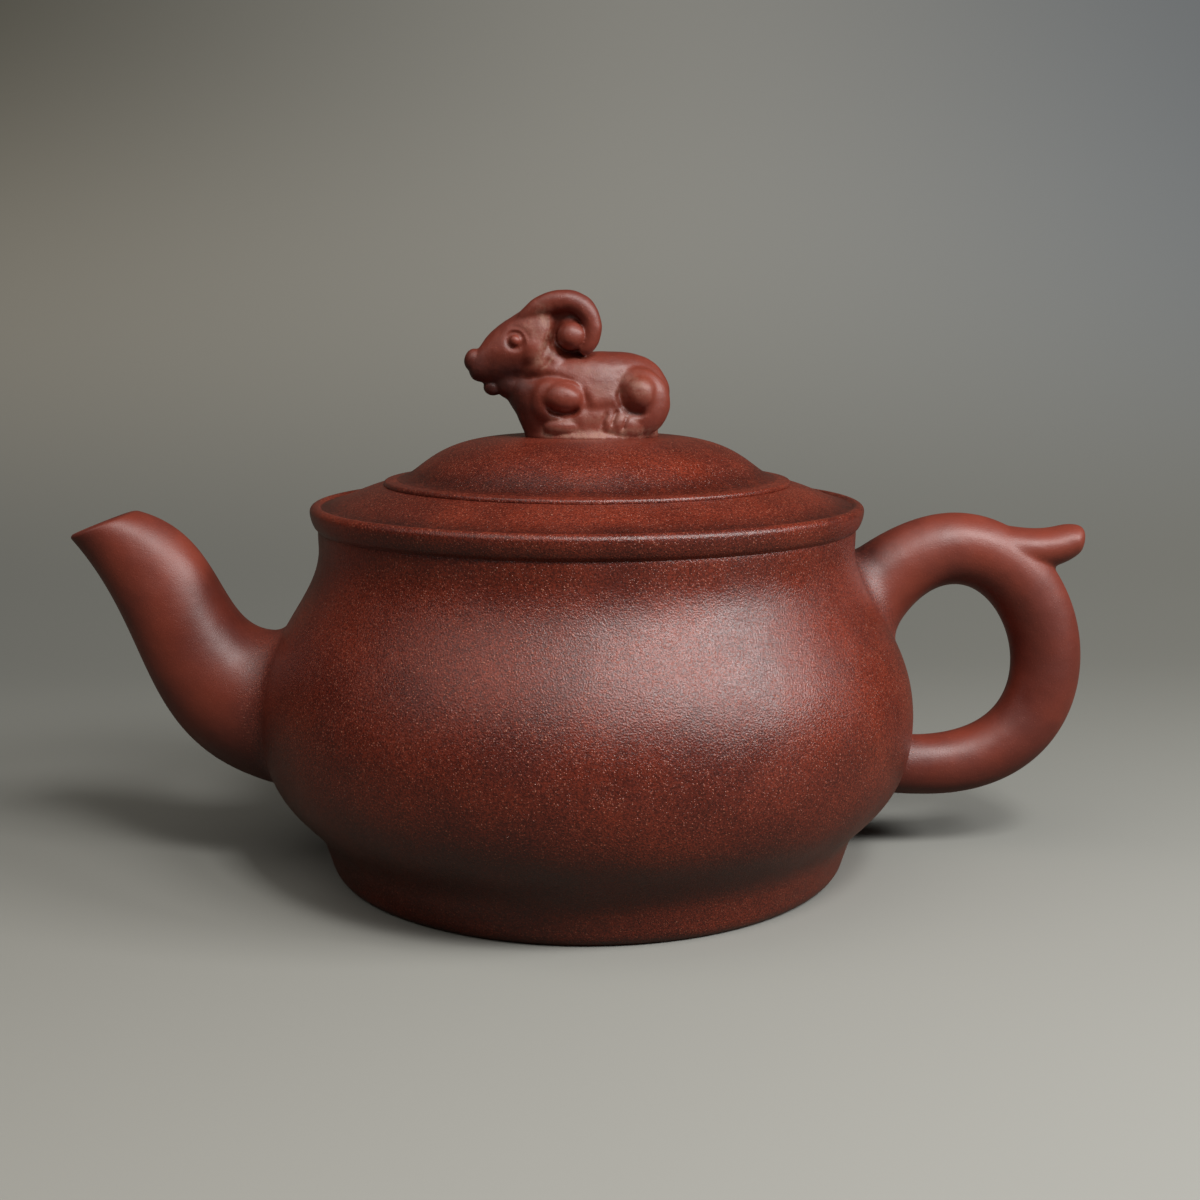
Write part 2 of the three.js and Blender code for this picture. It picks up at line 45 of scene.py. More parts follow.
FOOT_TOP_RADIUS = 40.1
FOOT_HEIGHT = 2.6
FOOT_WIDTH = 4.2
FOOT_DRAFT = 0.65
FOOT_BEND = (22.6, 0.28, 76.6, 0.46)
TURNED_STEPS = 200


def bent_curve(start, end, leaves, leaves_hold, arrives, arrives_hold):
    """A curve that leaves and arrives at headings in degrees; its function takes 0 to 1 and past."""
    start, end = Vector(start), Vector(end)
    reach = (end - start).length
    headings = [Vector((math.cos(math.radians(a)), math.sin(math.radians(a)))) for a in (leaves, arrives)]
    after = start + headings[0] * leaves_hold * reach
    before = end - headings[1] * arrives_hold * reach

    def point(t):
        s = 1 - t
        return start * s**3 + after * 3 * s * s * t + before * 3 * s * t * t + end * t**3

    return point


def bent(start, end, bend, steps):
    """Points along such a curve, both ends included."""
    curve = bent_curve(start, end, *bend)
    return [tuple(curve(step / steps)) for step in range(steps + 1)]


def spun(bm, geom, steps):
    """Spins points and edges all the way round the pot's axis and joins the ends."""
    bmesh.ops.spin(
        bm, geom=geom, cent=(0, 0, 0), axis=(0, 0, 1), angle=2 * math.pi, steps=steps, use_merge=True)


def turned(profile, corners=(), steps=TURNED_STEPS):
    """Turns a profile of (radius, height) about the pot's axis. A corner is (index, rounding)."""
    bm = bmesh.new()
    points = [bm.verts.new((radius, 0, height)) for radius, height in profile]
    for pair in zip(points, points[1:]):
        bm.edges.new(pair)
    if profile[0][0] > 0:
        bm.edges.new((points[-1], points[0]))
    for index, rounding in corners:
        bmesh.ops.bevel(
            bm, geom=[points[index]], offset=rounding, offset_type="OFFSET",
            segments=5, profile=0.5, affect="VERTICES", material=-1,
        )
    spun(bm, list(bm.verts) + list(bm.edges), steps)
    bmesh.ops.remove_doubles(bm, verts=bm.verts, dist=1e-5)
    bmesh.ops.recalc_face_normals(bm, faces=bm.faces)
    return bm


HAND_SWAY = 0.16
HAND_SWAY_UPRIGHT_SHARE = 0.4
HAND_SWAY_REACH = 34
HAND_SWAY_START = Vector((7.3, 1.9, 4.1))
HAND_SWAY_SEED = 11

# Without a seed of its own, noise_vector would sway the clay a little differently in each run.
noise.seed_set(HAND_SWAY_SEED)


def worked_by_hand(place):
    """Where a point in millimetres ends up: the wheel and the hand leave the pot a little uneven."""
    sway = noise.noise_vector(place / HAND_SWAY_REACH + HAND_SWAY_START)
    return place + Vector((sway.x, sway.y, sway.z * HAND_SWAY_UPRIGHT_SHARE)) * HAND_SWAY


def finished_mesh(name, bm, sharp_angle):
    """Makes a bmesh in millimetres a smooth-shaded mesh in metres, with its sharp edges kept."""
    for vert in bm.verts:
        vert.co = worked_by_hand(vert.co) / 1000
    bm.normal_update()
    mesh = bpy.data.meshes.new(name)
    bm.to_mesh(mesh)
    bm.free()
    mesh.shade_smooth()
    mesh.set_sharp_from_angle(angle=math.radians(sharp_angle))
    return mesh


TURNED_SHARP_ANGLE = 38


def clay_piece(name, bm, material, sharp_angle=TURNED_SHARP_ANGLE):
    """An object at the origin with its place in its mesh, in metres."""
    mesh = finished_mesh(name, bm, sharp_angle)
    mesh.materials.append(material)
    piece = bpy.data.objects.new(name, mesh)
    bpy.context.scene.collection.objects.link(piece)
    return piece


def add_node(tree, kind, inputs=None, **settings):
    """A shader node with its settings; inputs maps a socket to a value or to another node's output."""
    made = tree.nodes.new(kind)
    for setting, value in settings.items():
        setattr(made, setting, value)
    for socket, value in (inputs or {}).items():
        if isinstance(value, bpy.types.NodeSocket):
            tree.links.new(value, made.inputs[socket])
        else:
            made.inputs[socket].default_value = value
    return made


def math_node(tree, operation, first, second=0.0, third=0.0):
    inputs = {0: first, 1: second, 2: third}
    return add_node(tree, "ShaderNodeMath", inputs, operation=operation).outputs[0]


def mixed_colour(tree, share, first, second, blend="MIX"):
    """The first colour with a share of the second over it."""
    inputs = {"Factor": share, "A": first, "B": second}
    made = tree.nodes.new("ShaderNodeMix")
    made.data_type = "RGBA"
    made.blend_type = blend
    for socket in made.inputs:
        if socket.name in inputs and socket.enabled:
            value = inputs[socket.name]
            if isinstance(value, bpy.types.NodeSocket):
                tree.links.new(value, socket)
            else:
                socket.default_value = value
    return next(socket for socket in made.outputs if socket.enabled)


def mapped(tree, value, low, high, to_low=0.0, to_high=1.0, smooth=True):
    """Maps a value's range onto another one, held at its ends."""
    inputs = {"Value": value, "From Min": low, "From Max": high, "To Min": to_low, "To Max": to_high}
    kind = "SMOOTHSTEP" if smooth else "LINEAR"
    return add_node(tree, "ShaderNodeMapRange", inputs, interpolation_type=kind).outputs["Result"]


def colour(red, green, blue):
    """A colour written as a screen shows it, from 0 to 255, made linear."""
    shares = [channel / 255 for channel in (red, green, blue)]
    return [s / 12.92 if s <= 0.04045 else ((s + 0.055) / 1.055) ** 2.4 for s in shares] + [1.0]


def sand_group():
    """Clay with sand in it: mottled ground, grains of three sizes, dust and painted shade, on Object
    coordinates.
    """
    tree = bpy.data.node_groups.new("sandy clay", "ShaderNodeTree")
    tree.interface.new_socket("Clay", in_out="INPUT", socket_type="NodeSocketColor")
    for name in ("Sand", "Dust", "Painted Shade", "Gloss"):
        tree.interface.new_socket(name, in_out="INPUT", socket_type="NodeSocketFloat")
    tree.interface.new_socket("Color", in_out="OUTPUT", socket_type="NodeSocketColor")
    for name in ("Roughness", "Height"):
        tree.interface.new_socket(name, in_out="OUTPUT", socket_type="NodeSocketFloat")
    given = tree.nodes.new("NodeGroupInput")
    result = tree.nodes.new("NodeGroupOutput")
    place = tree.nodes.new("ShaderNodeTexCoord").outputs["Object"]
    sand = given.outputs["Sand"]

    def cloud(scale, detail, roughness=0.55):
        inputs = {"Vector": place, "Scale": scale, "Detail": detail, "Roughness": roughness}
        return add_node(tree, "ShaderNodeTexNoise", inputs).outputs["Fac"]

    def grains(scale, share, least, most, soft):
        """Round grains: one in each cell of the clay, for a share of the cells."""
        cells = add_node(tree, "ShaderNodeTexVoronoi", {"Vector": place, "Scale": scale})
        dice = add_node(tree, "ShaderNodeSeparateColor", {"Color": cells.outputs["Color"]})
        size = mapped(tree, dice.outputs["Red"], 0, 1, least, most, smooth=False)
        inner = math_node(tree, "SUBTRACT", size, soft)
        spot = mapped(tree, cells.outputs["Distance"], inner, size, 1.0, 0.0)
        kept = math_node(tree, "LESS_THAN", dice.outputs["Green"], share)
        return math_node(tree, "MULTIPLY", spot, kept), dice.outputs["Blue"]

    mottled = mapped(tree, cloud(75, 4), 0.32, 0.68)
    mottled = mixed_colour(tree, mottled, colour(205, 196, 200), colour(255, 250, 242))
    ground = mixed_colour(tree, 1.0, given.outputs["Clay"], mottled, "MULTIPLY")
    speckle = mapped(tree, cloud(3100, 3, 0.75), 0.36, 0.64)
    speckle = mixed_colour(tree, speckle, colour(160, 144, 142), colour(255, 255, 255))
    speckle = mixed_colour(tree, sand, colour(250, 248, 246), speckle)
    ground = mixed_colour(tree, 1.0, ground, speckle, "MULTIPLY")

    # Cells per metre, share of cells with a grain, least and most size, soft edge, two colours, strength.
    layers = (
        (3500, 0.5, 0.22, 0.5, 0.2, colour(150, 68, 48), colour(176, 98, 72), 0.6),
        (2200, 0.32, 0.15, 0.34, 0.12, colour(160, 78, 56), colour(188, 116, 88), 0.6),
        (1100, 0.03, 0.09, 0.18, 0.06, colour(172, 98, 72), colour(204, 146, 116), 0.55),
    )
    raised = 0.0
    for scale, share, least, most, soft, ruddy, pale, strength in layers:
        spots, tone = grains(scale, share, least, most, soft)
        shown = math_node(tree, "MULTIPLY", math_node(tree, "MULTIPLY", spots, sand), strength)
        ground = mixed_colour(tree, shown, ground, mixed_colour(tree, tone, ruddy, pale))
        raised = math_node(tree, "ADD", raised, spots)
    patchy = mapped(tree, cloud(1100, 4, 0.7), 0.3, 0.7)
    patchy = math_node(tree, "MULTIPLY", given.outputs["Dust"], patchy)
    ground = mixed_colour(tree, math_node(tree, "MULTIPLY", patchy, 0.5), ground, colour(176, 140, 118))
    # Painted shade: where the input asks for it, the ground is darkened by a grey tint, a little blotchy.
    painted_shade_share = mapped(tree, cloud(700, 3), 0.25, 0.6, 0.6, 1.0)
    painted_shade_share = math_node(tree, "MULTIPLY", given.outputs["Painted Shade"], painted_shade_share)
    painted_shade_colour = mixed_colour(tree, 1.0, ground, colour(150, 140, 136), "MULTIPLY")
    ground = mixed_colour(tree, painted_shade_share, ground, painted_shade_colour)
    tree.links.new(ground, result.inputs["Color"])

    worn = mapped(tree, cloud(140, 3), 0.3, 0.7, 0.45, 0.53)
    rough = math_node(tree, "MULTIPLY_ADD", given.outputs["Gloss"], -0.15, worn)
    tree.links.new(math_node(tree, "MULTIPLY_ADD", patchy, 0.2, rough), result.inputs["Roughness"])

    relief = math_node(tree, "MULTIPLY_ADD", sand, 0.85, 0.15)
    height = math_node(tree, "MULTIPLY", cloud(4000, 2, 0.6), 1.5)
    height = math_node(tree, "MULTIPLY_ADD", raised, 0.45, height)
    height = math_node(tree, "MULTIPLY", height, relief)
    height = math_node(tree, "MULTIPLY_ADD", cloud(170, 2), 2.4, height)
    tree.links.new(height, result.inputs["Height"])
    return tree


SAND = sand_group()
CLAY_SPECULAR = 0.72
CLAY_RELIEF = 0.00006


def clay_material(name, clay, shares, gloss):
    """Fired clay. Its shares of sand, dust and painted shade are numbers, or names of attributes that hold
    them.
    """
    material = bpy.data.materials.new(name)
    material.use_nodes = True
    tree = material.node_tree
    shader = tree.nodes["Principled BSDF"]
    shader.inputs["Specular IOR Level"].default_value = CLAY_SPECULAR
    body = add_node(tree, "ShaderNodeGroup", node_tree=SAND)
    body.inputs["Clay"].default_value = clay
    body.inputs["Gloss"].default_value = gloss
    for socket, share in shares.items():
        if isinstance(share, str):
            attribute = add_node(tree, "ShaderNodeAttribute", attribute_name=share)
            tree.links.new(attribute.outputs["Fac"], body.inputs[socket])
        else:
            body.inputs[socket].default_value = share
    inputs = {"Height": body.outputs["Height"], "Strength": 1.0, "Distance": CLAY_RELIEF}
    bump = add_node(tree, "ShaderNodeBump", inputs)
    tree.links.new(body.outputs["Color"], shader.inputs["Base Color"])
    tree.links.new(body.outputs["Roughness"], shader.inputs["Roughness"])
    tree.links.new(bump.outputs["Normal"], shader.inputs["Normal"])
    return material


# The sandy clay reads its painted shade from an attribute on each piece.
GRAINED = clay_material(
    "sandy red clay", colour(134, 53, 34), {"Sand": 1.0, "Dust": 0.0, "Painted Shade": "painted_shade"}, gloss=1.0)

foot_inner = FOOT_CONTACT_RADIUS - FOOT_WIDTH
foot_side = bent((FOOT_CONTACT_RADIUS, 0), (FOOT_TOP_RADIUS, FOOT_HEIGHT), FOOT_BEND, 10)
foot = turned([(foot_inner, 0), *foot_side, (foot_inner - FOOT_DRAFT, FOOT_HEIGHT)], [(0, 0.5)])
foot = clay_piece("foot", foot, GRAINED)
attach(foot, "pot")
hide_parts("foot_ring")

# Bottom.
# The flat slab of the same clay that closes the pot, beaten to thickness and cut round. It is set on
# the foot ring with slip, and the wall is luted to its edge.
BOTTOM_RADIUS = 41.0
BOTTOM_TOP = 5.4
bottom = turned([
    (0, FOOT_HEIGHT), (FOOT_TOP_RADIUS, FOOT_HEIGHT), (BOTTOM_RADIUS, BOTTOM_TOP), (0, BOTTOM_TOP),
])
bottom = clay_piece("bottom", bottom, GRAINED)
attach(bottom, "pot")
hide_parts("bottom_disc")

# Body wall.
# The belly of the pot: a slab of sandy clay, beaten round and drawn in to a short neck, with a round
# hole behind the spout. It is the same thickness all over and left unglazed, burnished with a horn.
BELLY = (50.0, 24.0)
NECK = (40.65, 50.0)
NECK_TOP = 52.8
WALL = 3.0
BELLY_BEND = (70.6, 0.271, 90, 0.6)
NECK_BEND = (90, 0.462, 90, 0.292)
STRAINER_RADIUS = 7.6
STRAINER_HEIGHT = 24.55
STRAINER_GAP = 0.3
DRILL_LENGTH = 40
wall_outline = bent((BOTTOM_RADIUS, BOTTOM_TOP), BELLY, BELLY_BEND, 26)
wall_outline += bent(BELLY, NECK, NECK_BEND, 34)[1:]
wall_outline += [(40.69, 51.0), (40.72, 52.0), (40.72, 52.9), (40.5, 53.3), (40.0, 53.3)]
wall_heights = [height for radius, height in wall_outline]
wall_radii = [radius for radius, height in wall_outline]


def pot_radius(height):
    """The pot's outside radius at a height."""
    return float(np.interp(height, wall_heights, wall_radii))


def bored(piece, drill):
    """Cuts a bmesh in millimetres out of a piece and keeps the piece's shading."""
    tool = bpy.data.objects.new("drill", finished_mesh("drill", drill, TURNED_SHARP_ANGLE))
    bpy.context.scene.collection.objects.link(tool)
    cut = piece.modifiers.new("bored", "BOOLEAN")
    cut.operation = "DIFFERENCE"
    cut.solver = "EXACT"
    cut.object = tool
    bpy.context.view_layer.update()
    graph = bpy.context.evaluated_depsgraph_get()
    mesh = bpy.data.meshes.new_from_object(piece.evaluated_get(graph))
    piece.modifiers.clear()
    piece.data = mesh
    bpy.data.objects.remove(tool)
    mesh.shade_smooth()
    mesh.set_sharp_from_angle(angle=math.radians(TURNED_SHARP_ANGLE))


def pin(bm, radius, length, place, segments):
    """Adds a straight pin to a bmesh of pins, along its own Z at a place."""
    bmesh.ops.create_cone(
        bm, cap_ends=True, segments=segments, radius1=radius, radius2=radius, depth=length, matrix=place)


inside = [(radius - WALL, height) for radius, height in wall_outline if height < NECK_TOP]
wall = turned([*wall_outline, (NECK[0] - WALL, NECK_TOP), *reversed(inside)])
wall = clay_piece("belly", wall, GRAINED)
level_out = Matrix.Rotation(math.pi / 2, 4, "Y")
behind_spout = Matrix.Translation((-BELLY[0], 0, STRAINER_HEIGHT)) @ level_out
drill = bmesh.new()
pin(drill, STRAINER_RADIUS + STRAINER_GAP, DRILL_LENGTH, behind_spout, 64)
bored(wall, drill)
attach(wall, "pot")
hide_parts("body_wall")

# Rim.
# A coil of the same clay round the mouth's outside, drawn to a rounded nose at its top with a strip of
# wet leather. It slopes in underneath to a soft hollow over the neck.
RIM_NOSE = (41.85, 55.5)
RIM_UNDER = (41.2, 53.25)
RIM_CREASE = (40.25, 52.2)
RIM_INNER = 40.2
RIM_LIP = (40.55, 56.35)
GROOVE_FLOOR = 56.05
HOLLOW_BEND = (48, 0.3, 46, 0.3)
UNDERSIDE_BEND = (58, 0.3, 90, 0.3)
NOSE_BEND = (90, 0.42, 200, 0.4)
rim_profile = [(RIM_INNER, RIM_CREASE[1] + 0.3)]
rim_profile += bent(RIM_CREASE, RIM_UNDER, HOLLOW_BEND, 8)
rim_profile += bent(RIM_UNDER, RIM_NOSE, UNDERSIDE_BEND, 10)[1:]
rim_profile += bent(RIM_NOSE, RIM_LIP, NOSE_BEND, 14)[1:]
rim_profile.append((RIM_INNER, GROOVE_FLOOR))
rim = clay_piece("rim", turned(rim_profile), GRAINED)
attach(rim, "pot")
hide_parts("rim_coil")

# Shoulder.
# The sloping slab inside the rim that carries the lid. It is cut as a ring from a sheet of sandy clay
# and luted to the wall's edge. Its colour is darker along the rim: painted shade in the cove behind the rim.
SEAT_HEIGHT = 59.1
MOUTH_RADIUS = 27.9
LID_RADIUS = 30.8
SHOULDER_THICKNESS = 3.2
SHOULDER_BEND = (168, 0.3, 168, 0.3)
WALL_CLEARANCE = 0.75


def shaded(piece, name, share_at):
    """Stores a share for each place of a piece: share_at takes arrays of x, y and z in millimetres."""
    places = np.empty(len(piece.data.vertices) * 3)
    piece.data.vertices.foreach_get("co", places)
    shares = np.clip(share_at(*(places.reshape(-1, 3).T * 1000)), 0, 1)
    piece.data.attributes.new(name, "FLOAT", "POINT").data.foreach_set("value", shares)


shoulder_profile = [
    (MOUTH_RADIUS, SEAT_HEIGHT - SHOULDER_THICKNESS), (NECK[0] - WALL - WALL_CLEARANCE, NECK_TOP),
    (RIM_INNER, NECK_TOP),
    *bent((RIM_INNER, GROOVE_FLOOR), (LID_RADIUS + 0.4, SEAT_HEIGHT), SHOULDER_BEND, 18),
    (MOUTH_RADIUS, SEAT_HEIGHT),
]
shoulder = turned(shoulder_profile, [(0, 0.5), (len(shoulder_profile) - 1, 0.6)])
shoulder = clay_piece("shoulder", shoulder, GRAINED)
# Painted shade along the rim: the clay is darkened towards the cove behind the rim.
shaded(shoulder, "painted_shade", lambda x, y, z: 0.85 * np.clip((np.hypot(x, y) - 36.0) / 3.2, 0, 1))
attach(shoulder, "pot")
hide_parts("shoulder_slab")

# Strainer.
# Half a ball of thin clay behind the spout that holds the leaves back. It is pressed in a mould,
# pierced with a pin while soft, and luted into the hole in the wall by its short collar.
STRAINER_WALL = 1.5
STRAINER_COLLAR = 2.6
STRAINER_SUNK = 1.2
PIN_HOLE = 0.9
PIN_ROWS = ((1, 0), (6, 30), (10, 60))
quarter = [(math.cos(a), math.sin(a)) for a in np.linspace(0, math.pi / 2, 14)]
strainer_inner = STRAINER_RADIUS - STRAINER_WALL
ball_outside = [(STRAINER_RADIUS * c, STRAINER_COLLAR + STRAINER_RADIUS * s) for c, s in quarter]
ball_inside = [(strainer_inner * c, STRAINER_COLLAR + strainer_inner * s) for c, s in quarter]
strainer_profile = [(strainer_inner, 0), (STRAINER_RADIUS, 0), *ball_outside, *reversed(ball_inside)]
strainer_profile = [(max(0.0, radius), height) for radius, height in strainer_profile]
strainer_root = (STRAINER_SUNK - pot_radius(STRAINER_HEIGHT), 0, STRAINER_HEIGHT)
in_the_wall = Matrix.Translation(strainer_root) @ level_out
strainer = turned(strainer_profile, steps=72)
bmesh.ops.transform(strainer, matrix=in_the_wall, verts=strainer.verts)
strainer = clay_piece("strainer_ball", strainer, GRAINED)
pins = bmesh.new()
for count, tilt in PIN_ROWS:
    for number in range(count):
        place = in_the_wall @ Matrix.Translation((0, 0, STRAINER_COLLAR))
        place = place @ Matrix.Rotation(2 * math.pi * number / count, 4, "Z")
        place = place @ Matrix.Rotation(math.radians(tilt), 4, "Y")
        place = place @ Matrix.Translation((0, 0, STRAINER_RADIUS))
        pin(pins, PIN_HOLE, STRAINER_RADIUS, place, 20)
bored(strainer, pins)
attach(strainer, "pot")
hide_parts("strainer")

# Spout.
# A hollow cannon spout of smoother clay, rolled over a tapered stick, bent and cut obliquely at its lip.
# Its root is scribed to the belly, luted on with slip and smoothed over all round.
SPOUT_UNDER = bent_curve((0.5 - pot_radius(12.2), 12.2), (-78, 51.7), 166, 0.49, 130, 0.41)
SPOUT_UPPER = bent_curve((1.2 - pot_radius(36.9), 36.9), (-68.2, 55.3), 192.5, 0.429, 166, 0.52)
SPOUT_WIDTHS = (10.8, 7.4, 4.9)
SPOUT_WALLS = (3.2, 1.7)
SPOUT_ROOT_HEIGHT = 24
LIP_END = 0.988
LIP_ROUND = 0.62
LIP_STEPS = 8
BORE_IN_WALL = 1.2
SPOUT_AROUND = 120
SPOUT_STEPS = 60
BORE_STEPS = 32
# The smooth clay reads its painted shade from an attribute on each piece.
SMOOTH = clay_material(
    "smooth red clay", colour(130, 56, 40), {"Sand": "sand", "Dust": "dust", "Painted Shade": "painted_shade"}, gloss=0.1)


def spout_point(turn, t, bored_out):
    """A place on the spout's outside, or in its bore; turn 0 is underneath, t 1 is at the lip."""
    low, high = SPOUT_UNDER(t), SPOUT_UPPER(t)
    wall = bored_out * (SPOUT_WALLS[0] * (1 - t) + SPOUT_WALLS[1] * t)
    half_height = (low - high).length / 2 - wall
    across = (low - high).normalized() * half_height * math.cos(turn)
    middle = (low + high) / 2 + across
    root, waist, lip = SPOUT_WIDTHS
    half_width = (1 - t) ** 2 * root + 2 * t * (1 - t) * waist + t * t * lip - wall
    return Vector((middle.x, half_width * math.sin(turn), middle.y))


def depth_in_pot(place):
    """How far inside the pot's outside a point is, in millimetres, measured level."""
    return pot_radius(place.z) - math.hypot(place.x, place.y)


def where(holds, outside, within):
    """Halves the stretch between two shares of a line until it finds where a test stops holding."""
    for _ in range(28):
        middle = (outside + within) / 2
        if holds(middle):
            within = middle
        else:
            outside = middle
    return (outside + within) / 2


def on_pot(place, sunk=0.0):
    """The nearest place at that height on the pot's outside, sunk into its wall."""
    level = Vector((place.x, place.y, 0)).normalized() * (pot_radius(place.z) - sunk)
    return Vector((level.x, level.y, place.z))


def pot_normal(place):
    """Straight out of the pot's skin at a place on it."""
    slope = pot_radius(place.z + 0.2) - pot_radius(place.z - 0.2)
    level = Vector((place.x, place.y, 0)).normalized()
    return Vector((level.x, level.y, -slope / 0.4)).normalized()


SLIP_EDGE = 0.7
SLIP_EDGE_SUNK = 0.22


def luted_root(line, centre, start, reach, spread, steps):
    """The slip smoothed round a root: places from under the pot's skin up to the piece itself.

    line gives places along the piece from inside the pot (start) outwards, centre is the root's middle,
    and reach and spread are how far the slip goes up the piece and out over the pot.
    Returns the places and the share of the line at which they end.
    """
    crossing = where(lambda t: depth_in_pot(line(t)) > 0, start[1], start[0])
    foot_place = line(crossing)
    top = where(lambda t: (line(t) - foot_place).length < reach, start[1], crossing)
    normal = pot_normal(foot_place)
    away = foot_place - centre
    away = (away - normal * away.dot(normal)).normalized()
    far = on_pot(foot_place + away * spread)
    edge = on_pot(foot_place + away * (spread + SLIP_EDGE), SLIP_EDGE_SUNK)
    places = [edge]
    for step in range(steps):
        t = step / steps
        places.append(far * (1 - t) ** 2 + foot_place * 2 * t * (1 - t) + line(top) * t * t)
    return places, top


def skin(rings, around):
    """A closed skin through rings of places: rings[turn][ring], the last ring joined to the first."""
    count = len(rings[0])
    bm = bmesh.new()
    line = [bm.verts.new((1, 0, ring)) for ring in range(count)]
    edges = [bm.edges.new(pair) for pair in zip(line, line[1:])]
    spun(bm, line + edges, around)
    ends = [edge for edge in bm.edges if edge.is_boundary]
    bmesh.ops.bridge_loops(bm, edges=ends)
    for vert in bm.verts:
        turn = round(math.atan2(vert.co.y, vert.co.x) / (2 * math.pi) * around) % around
        vert.co = rings[turn][round(vert.co.z)]
    bmesh.ops.recalc_face_normals(bm, faces=bm.faces)
    return bm


def out_of_pot(x, y, z):
    """How far outside the pot places are, in millimetres, measured level."""
    return np.hypot(x, y) - np.interp(z, wall_heights, wall_radii)


spout_centre = Vector((-pot_radius(SPOUT_ROOT_HEIGHT), 0, SPOUT_ROOT_HEIGHT))
spout_rings = []
for number in range(SPOUT_AROUND):
    turn = 2 * math.pi * number / SPOUT_AROUND
    side = abs(math.sin(turn))
    soft = 0.9 + 1.5 * side + 0.2 * (1 - math.cos(turn))
    places, root_end = luted_root(
        lambda t: spout_point(turn, t, 0), spout_centre, (-0.12, 0.4), soft, soft * 0.8, 8)
    for step in range(SPOUT_STEPS + 1):
        places.append(spout_point(turn, root_end + (LIP_END - root_end) * step / SPOUT_STEPS, 0))
    outer, inner = spout_point(turn, LIP_END, 0), spout_point(turn, LIP_END, 1)
    onwards = (spout_point(turn, 1, 0) - spout_point(turn, 0.97, 0)).normalized() * LIP_ROUND
    for angle in np.linspace(0, math.pi, LIP_STEPS + 1)[1:-1]:
        middle = (outer + inner) / 2
        places.append(middle + (outer - middle) * math.cos(angle) + onwards * math.sin(angle))
    bore_end = where(lambda t: depth_in_pot(spout_point(turn, t, 1)) > BORE_IN_WALL, 0.4, -0.15)
    for step in range(BORE_STEPS + 1):
        places.append(spout_point(turn, LIP_END + (bore_end - LIP_END) * step / BORE_STEPS, 1))
    spout_rings.append(places)
spout = clay_piece("spout_roll", skin(spout_rings, SPOUT_AROUND), SMOOTH, 50)
shaded(spout, "sand", lambda x, y, z: 0.12 + 0.88 * np.clip(1 - out_of_pot(x, y, z) / 4.5, 0, 1))
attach(spout, "pot")
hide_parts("spout")

# Handle.
# A solid roll of smooth clay bent like an ear, thick where it leaves the neck and thinner at its foot,
# with a tail drawn out of its crown for the thumb. Both ends are luted on and smoothed over.
HANDLE_THICKNESS = (11.0, 8.9)
HANDLE_SWELL = 1.0
HANDLE_WIDTH_RATIO = 0.94
HANDLE_OUTSIDE = (77.9, 30.1)
ROOT_FLARE = (3.2, 21.0)
FOOT_FLARE = (0.6, 11.0)
ROOT_HEIGHTS = (42.5, 15.4)
ARM_STARTS = ((34.9, 8.8), (15.1, 5))
HANDLE_AROUND = 96
HANDLE_STEPS = 120
HANDLE_SKIN = 0.34
LINE_STEPS = 200
handle_outermost = (HANDLE_OUTSIDE[0] - sum(HANDLE_THICKNESS) / 4 - HANDLE_SWELL / 2, HANDLE_OUTSIDE[1])
upper_start, lower_start = [(pot_radius(height) - sunk, height) for height, sunk in ARM_STARTS]
upper_arm = bent_curve(upper_start, handle_outermost, 56.7, 0.898, -90, 0.429)
lower_arm = bent_curve(handle_outermost, lower_start, -90, 0.306, 167.8, 0.665)
handle_line = [upper_arm(step / LINE_STEPS) for step in range(LINE_STEPS)]
handle_line += [lower_arm(step / LINE_STEPS) for step in range(LINE_STEPS + 1)]
handle_steps = [0.0]
for here, there in zip(handle_line, handle_line[1:]):
    handle_steps.append(handle_steps[-1] + (there - here).length)
handle_length = handle_steps[-1]


def handle_centre(distance):
    """The place on the handle's middle line at a distance along it."""
    return Vector((
        float(np.interp(distance, handle_steps, [place.x for place in handle_line])),
        float(np.interp(distance, handle_steps, [place.y for place in handle_line])),
    ))


def handle_point(turn, distance):
    """A place on the roll; turn 0 is on the inside of the bend."""
    centre = handle_centre(distance)
    along = (handle_centre(distance + 0.3) - handle_centre(distance - 0.3)).normalized()
    share = distance / handle_length
    half = (HANDLE_THICKNESS[0] * (1 - share) + HANDLE_THICKNESS[1] * share) / 2
    half += 2 * HANDLE_SWELL * share * (1 - share)
    half += ROOT_FLARE[0] * max(0.0, 1 - distance / ROOT_FLARE[1]) ** 2
    half += FOOT_FLARE[0] * max(0.0, 1 - (handle_length - distance) / FOOT_FLARE[1]) ** 2
    out = Vector((along.y, 0, -along.x)) * half * math.cos(turn)
    return Vector((centre.x, half * HANDLE_WIDTH_RATIO * math.sin(turn), centre.y)) + out


handle_rings = []
upper_root, lower_root = [Vector((pot_radius(height), 0, height)) for height in ROOT_HEIGHTS]
for number in range(HANDLE_AROUND):
    turn = 2 * math.pi * number / HANDLE_AROUND
    side = abs(math.sin(turn))
    places, first = luted_root(
        lambda d: handle_point(turn, d), upper_root, (1.5, 24), 2.2 + 2.2 * side, 1.0 + 1.8 * side, 9)
    ends, last = luted_root(
        lambda d: handle_point(turn, handle_length - d), lower_root, (0.5, 20),
        1.2 + side, 0.6 + 0.8 * side, 7)
    last = handle_length - last
    for step in range(HANDLE_STEPS + 1):
        places.append(handle_point(turn, first + (last - first) * step / HANDLE_STEPS))
    places += reversed(ends)
    handle_rings.append(places)
TAIL_TOP = bent_curve((53.5, 53.6), (77.2, 53.2), -3, 0.52, 25, 0.36)
TAIL_UNDER = bent_curve((57.0, 43.5), (78.0, 49.0), 5, 0.72, 54, 0.2)
TAIL_WIDTHS = (4.9, 3.4)
TAIL_ROUNDING = 0.16


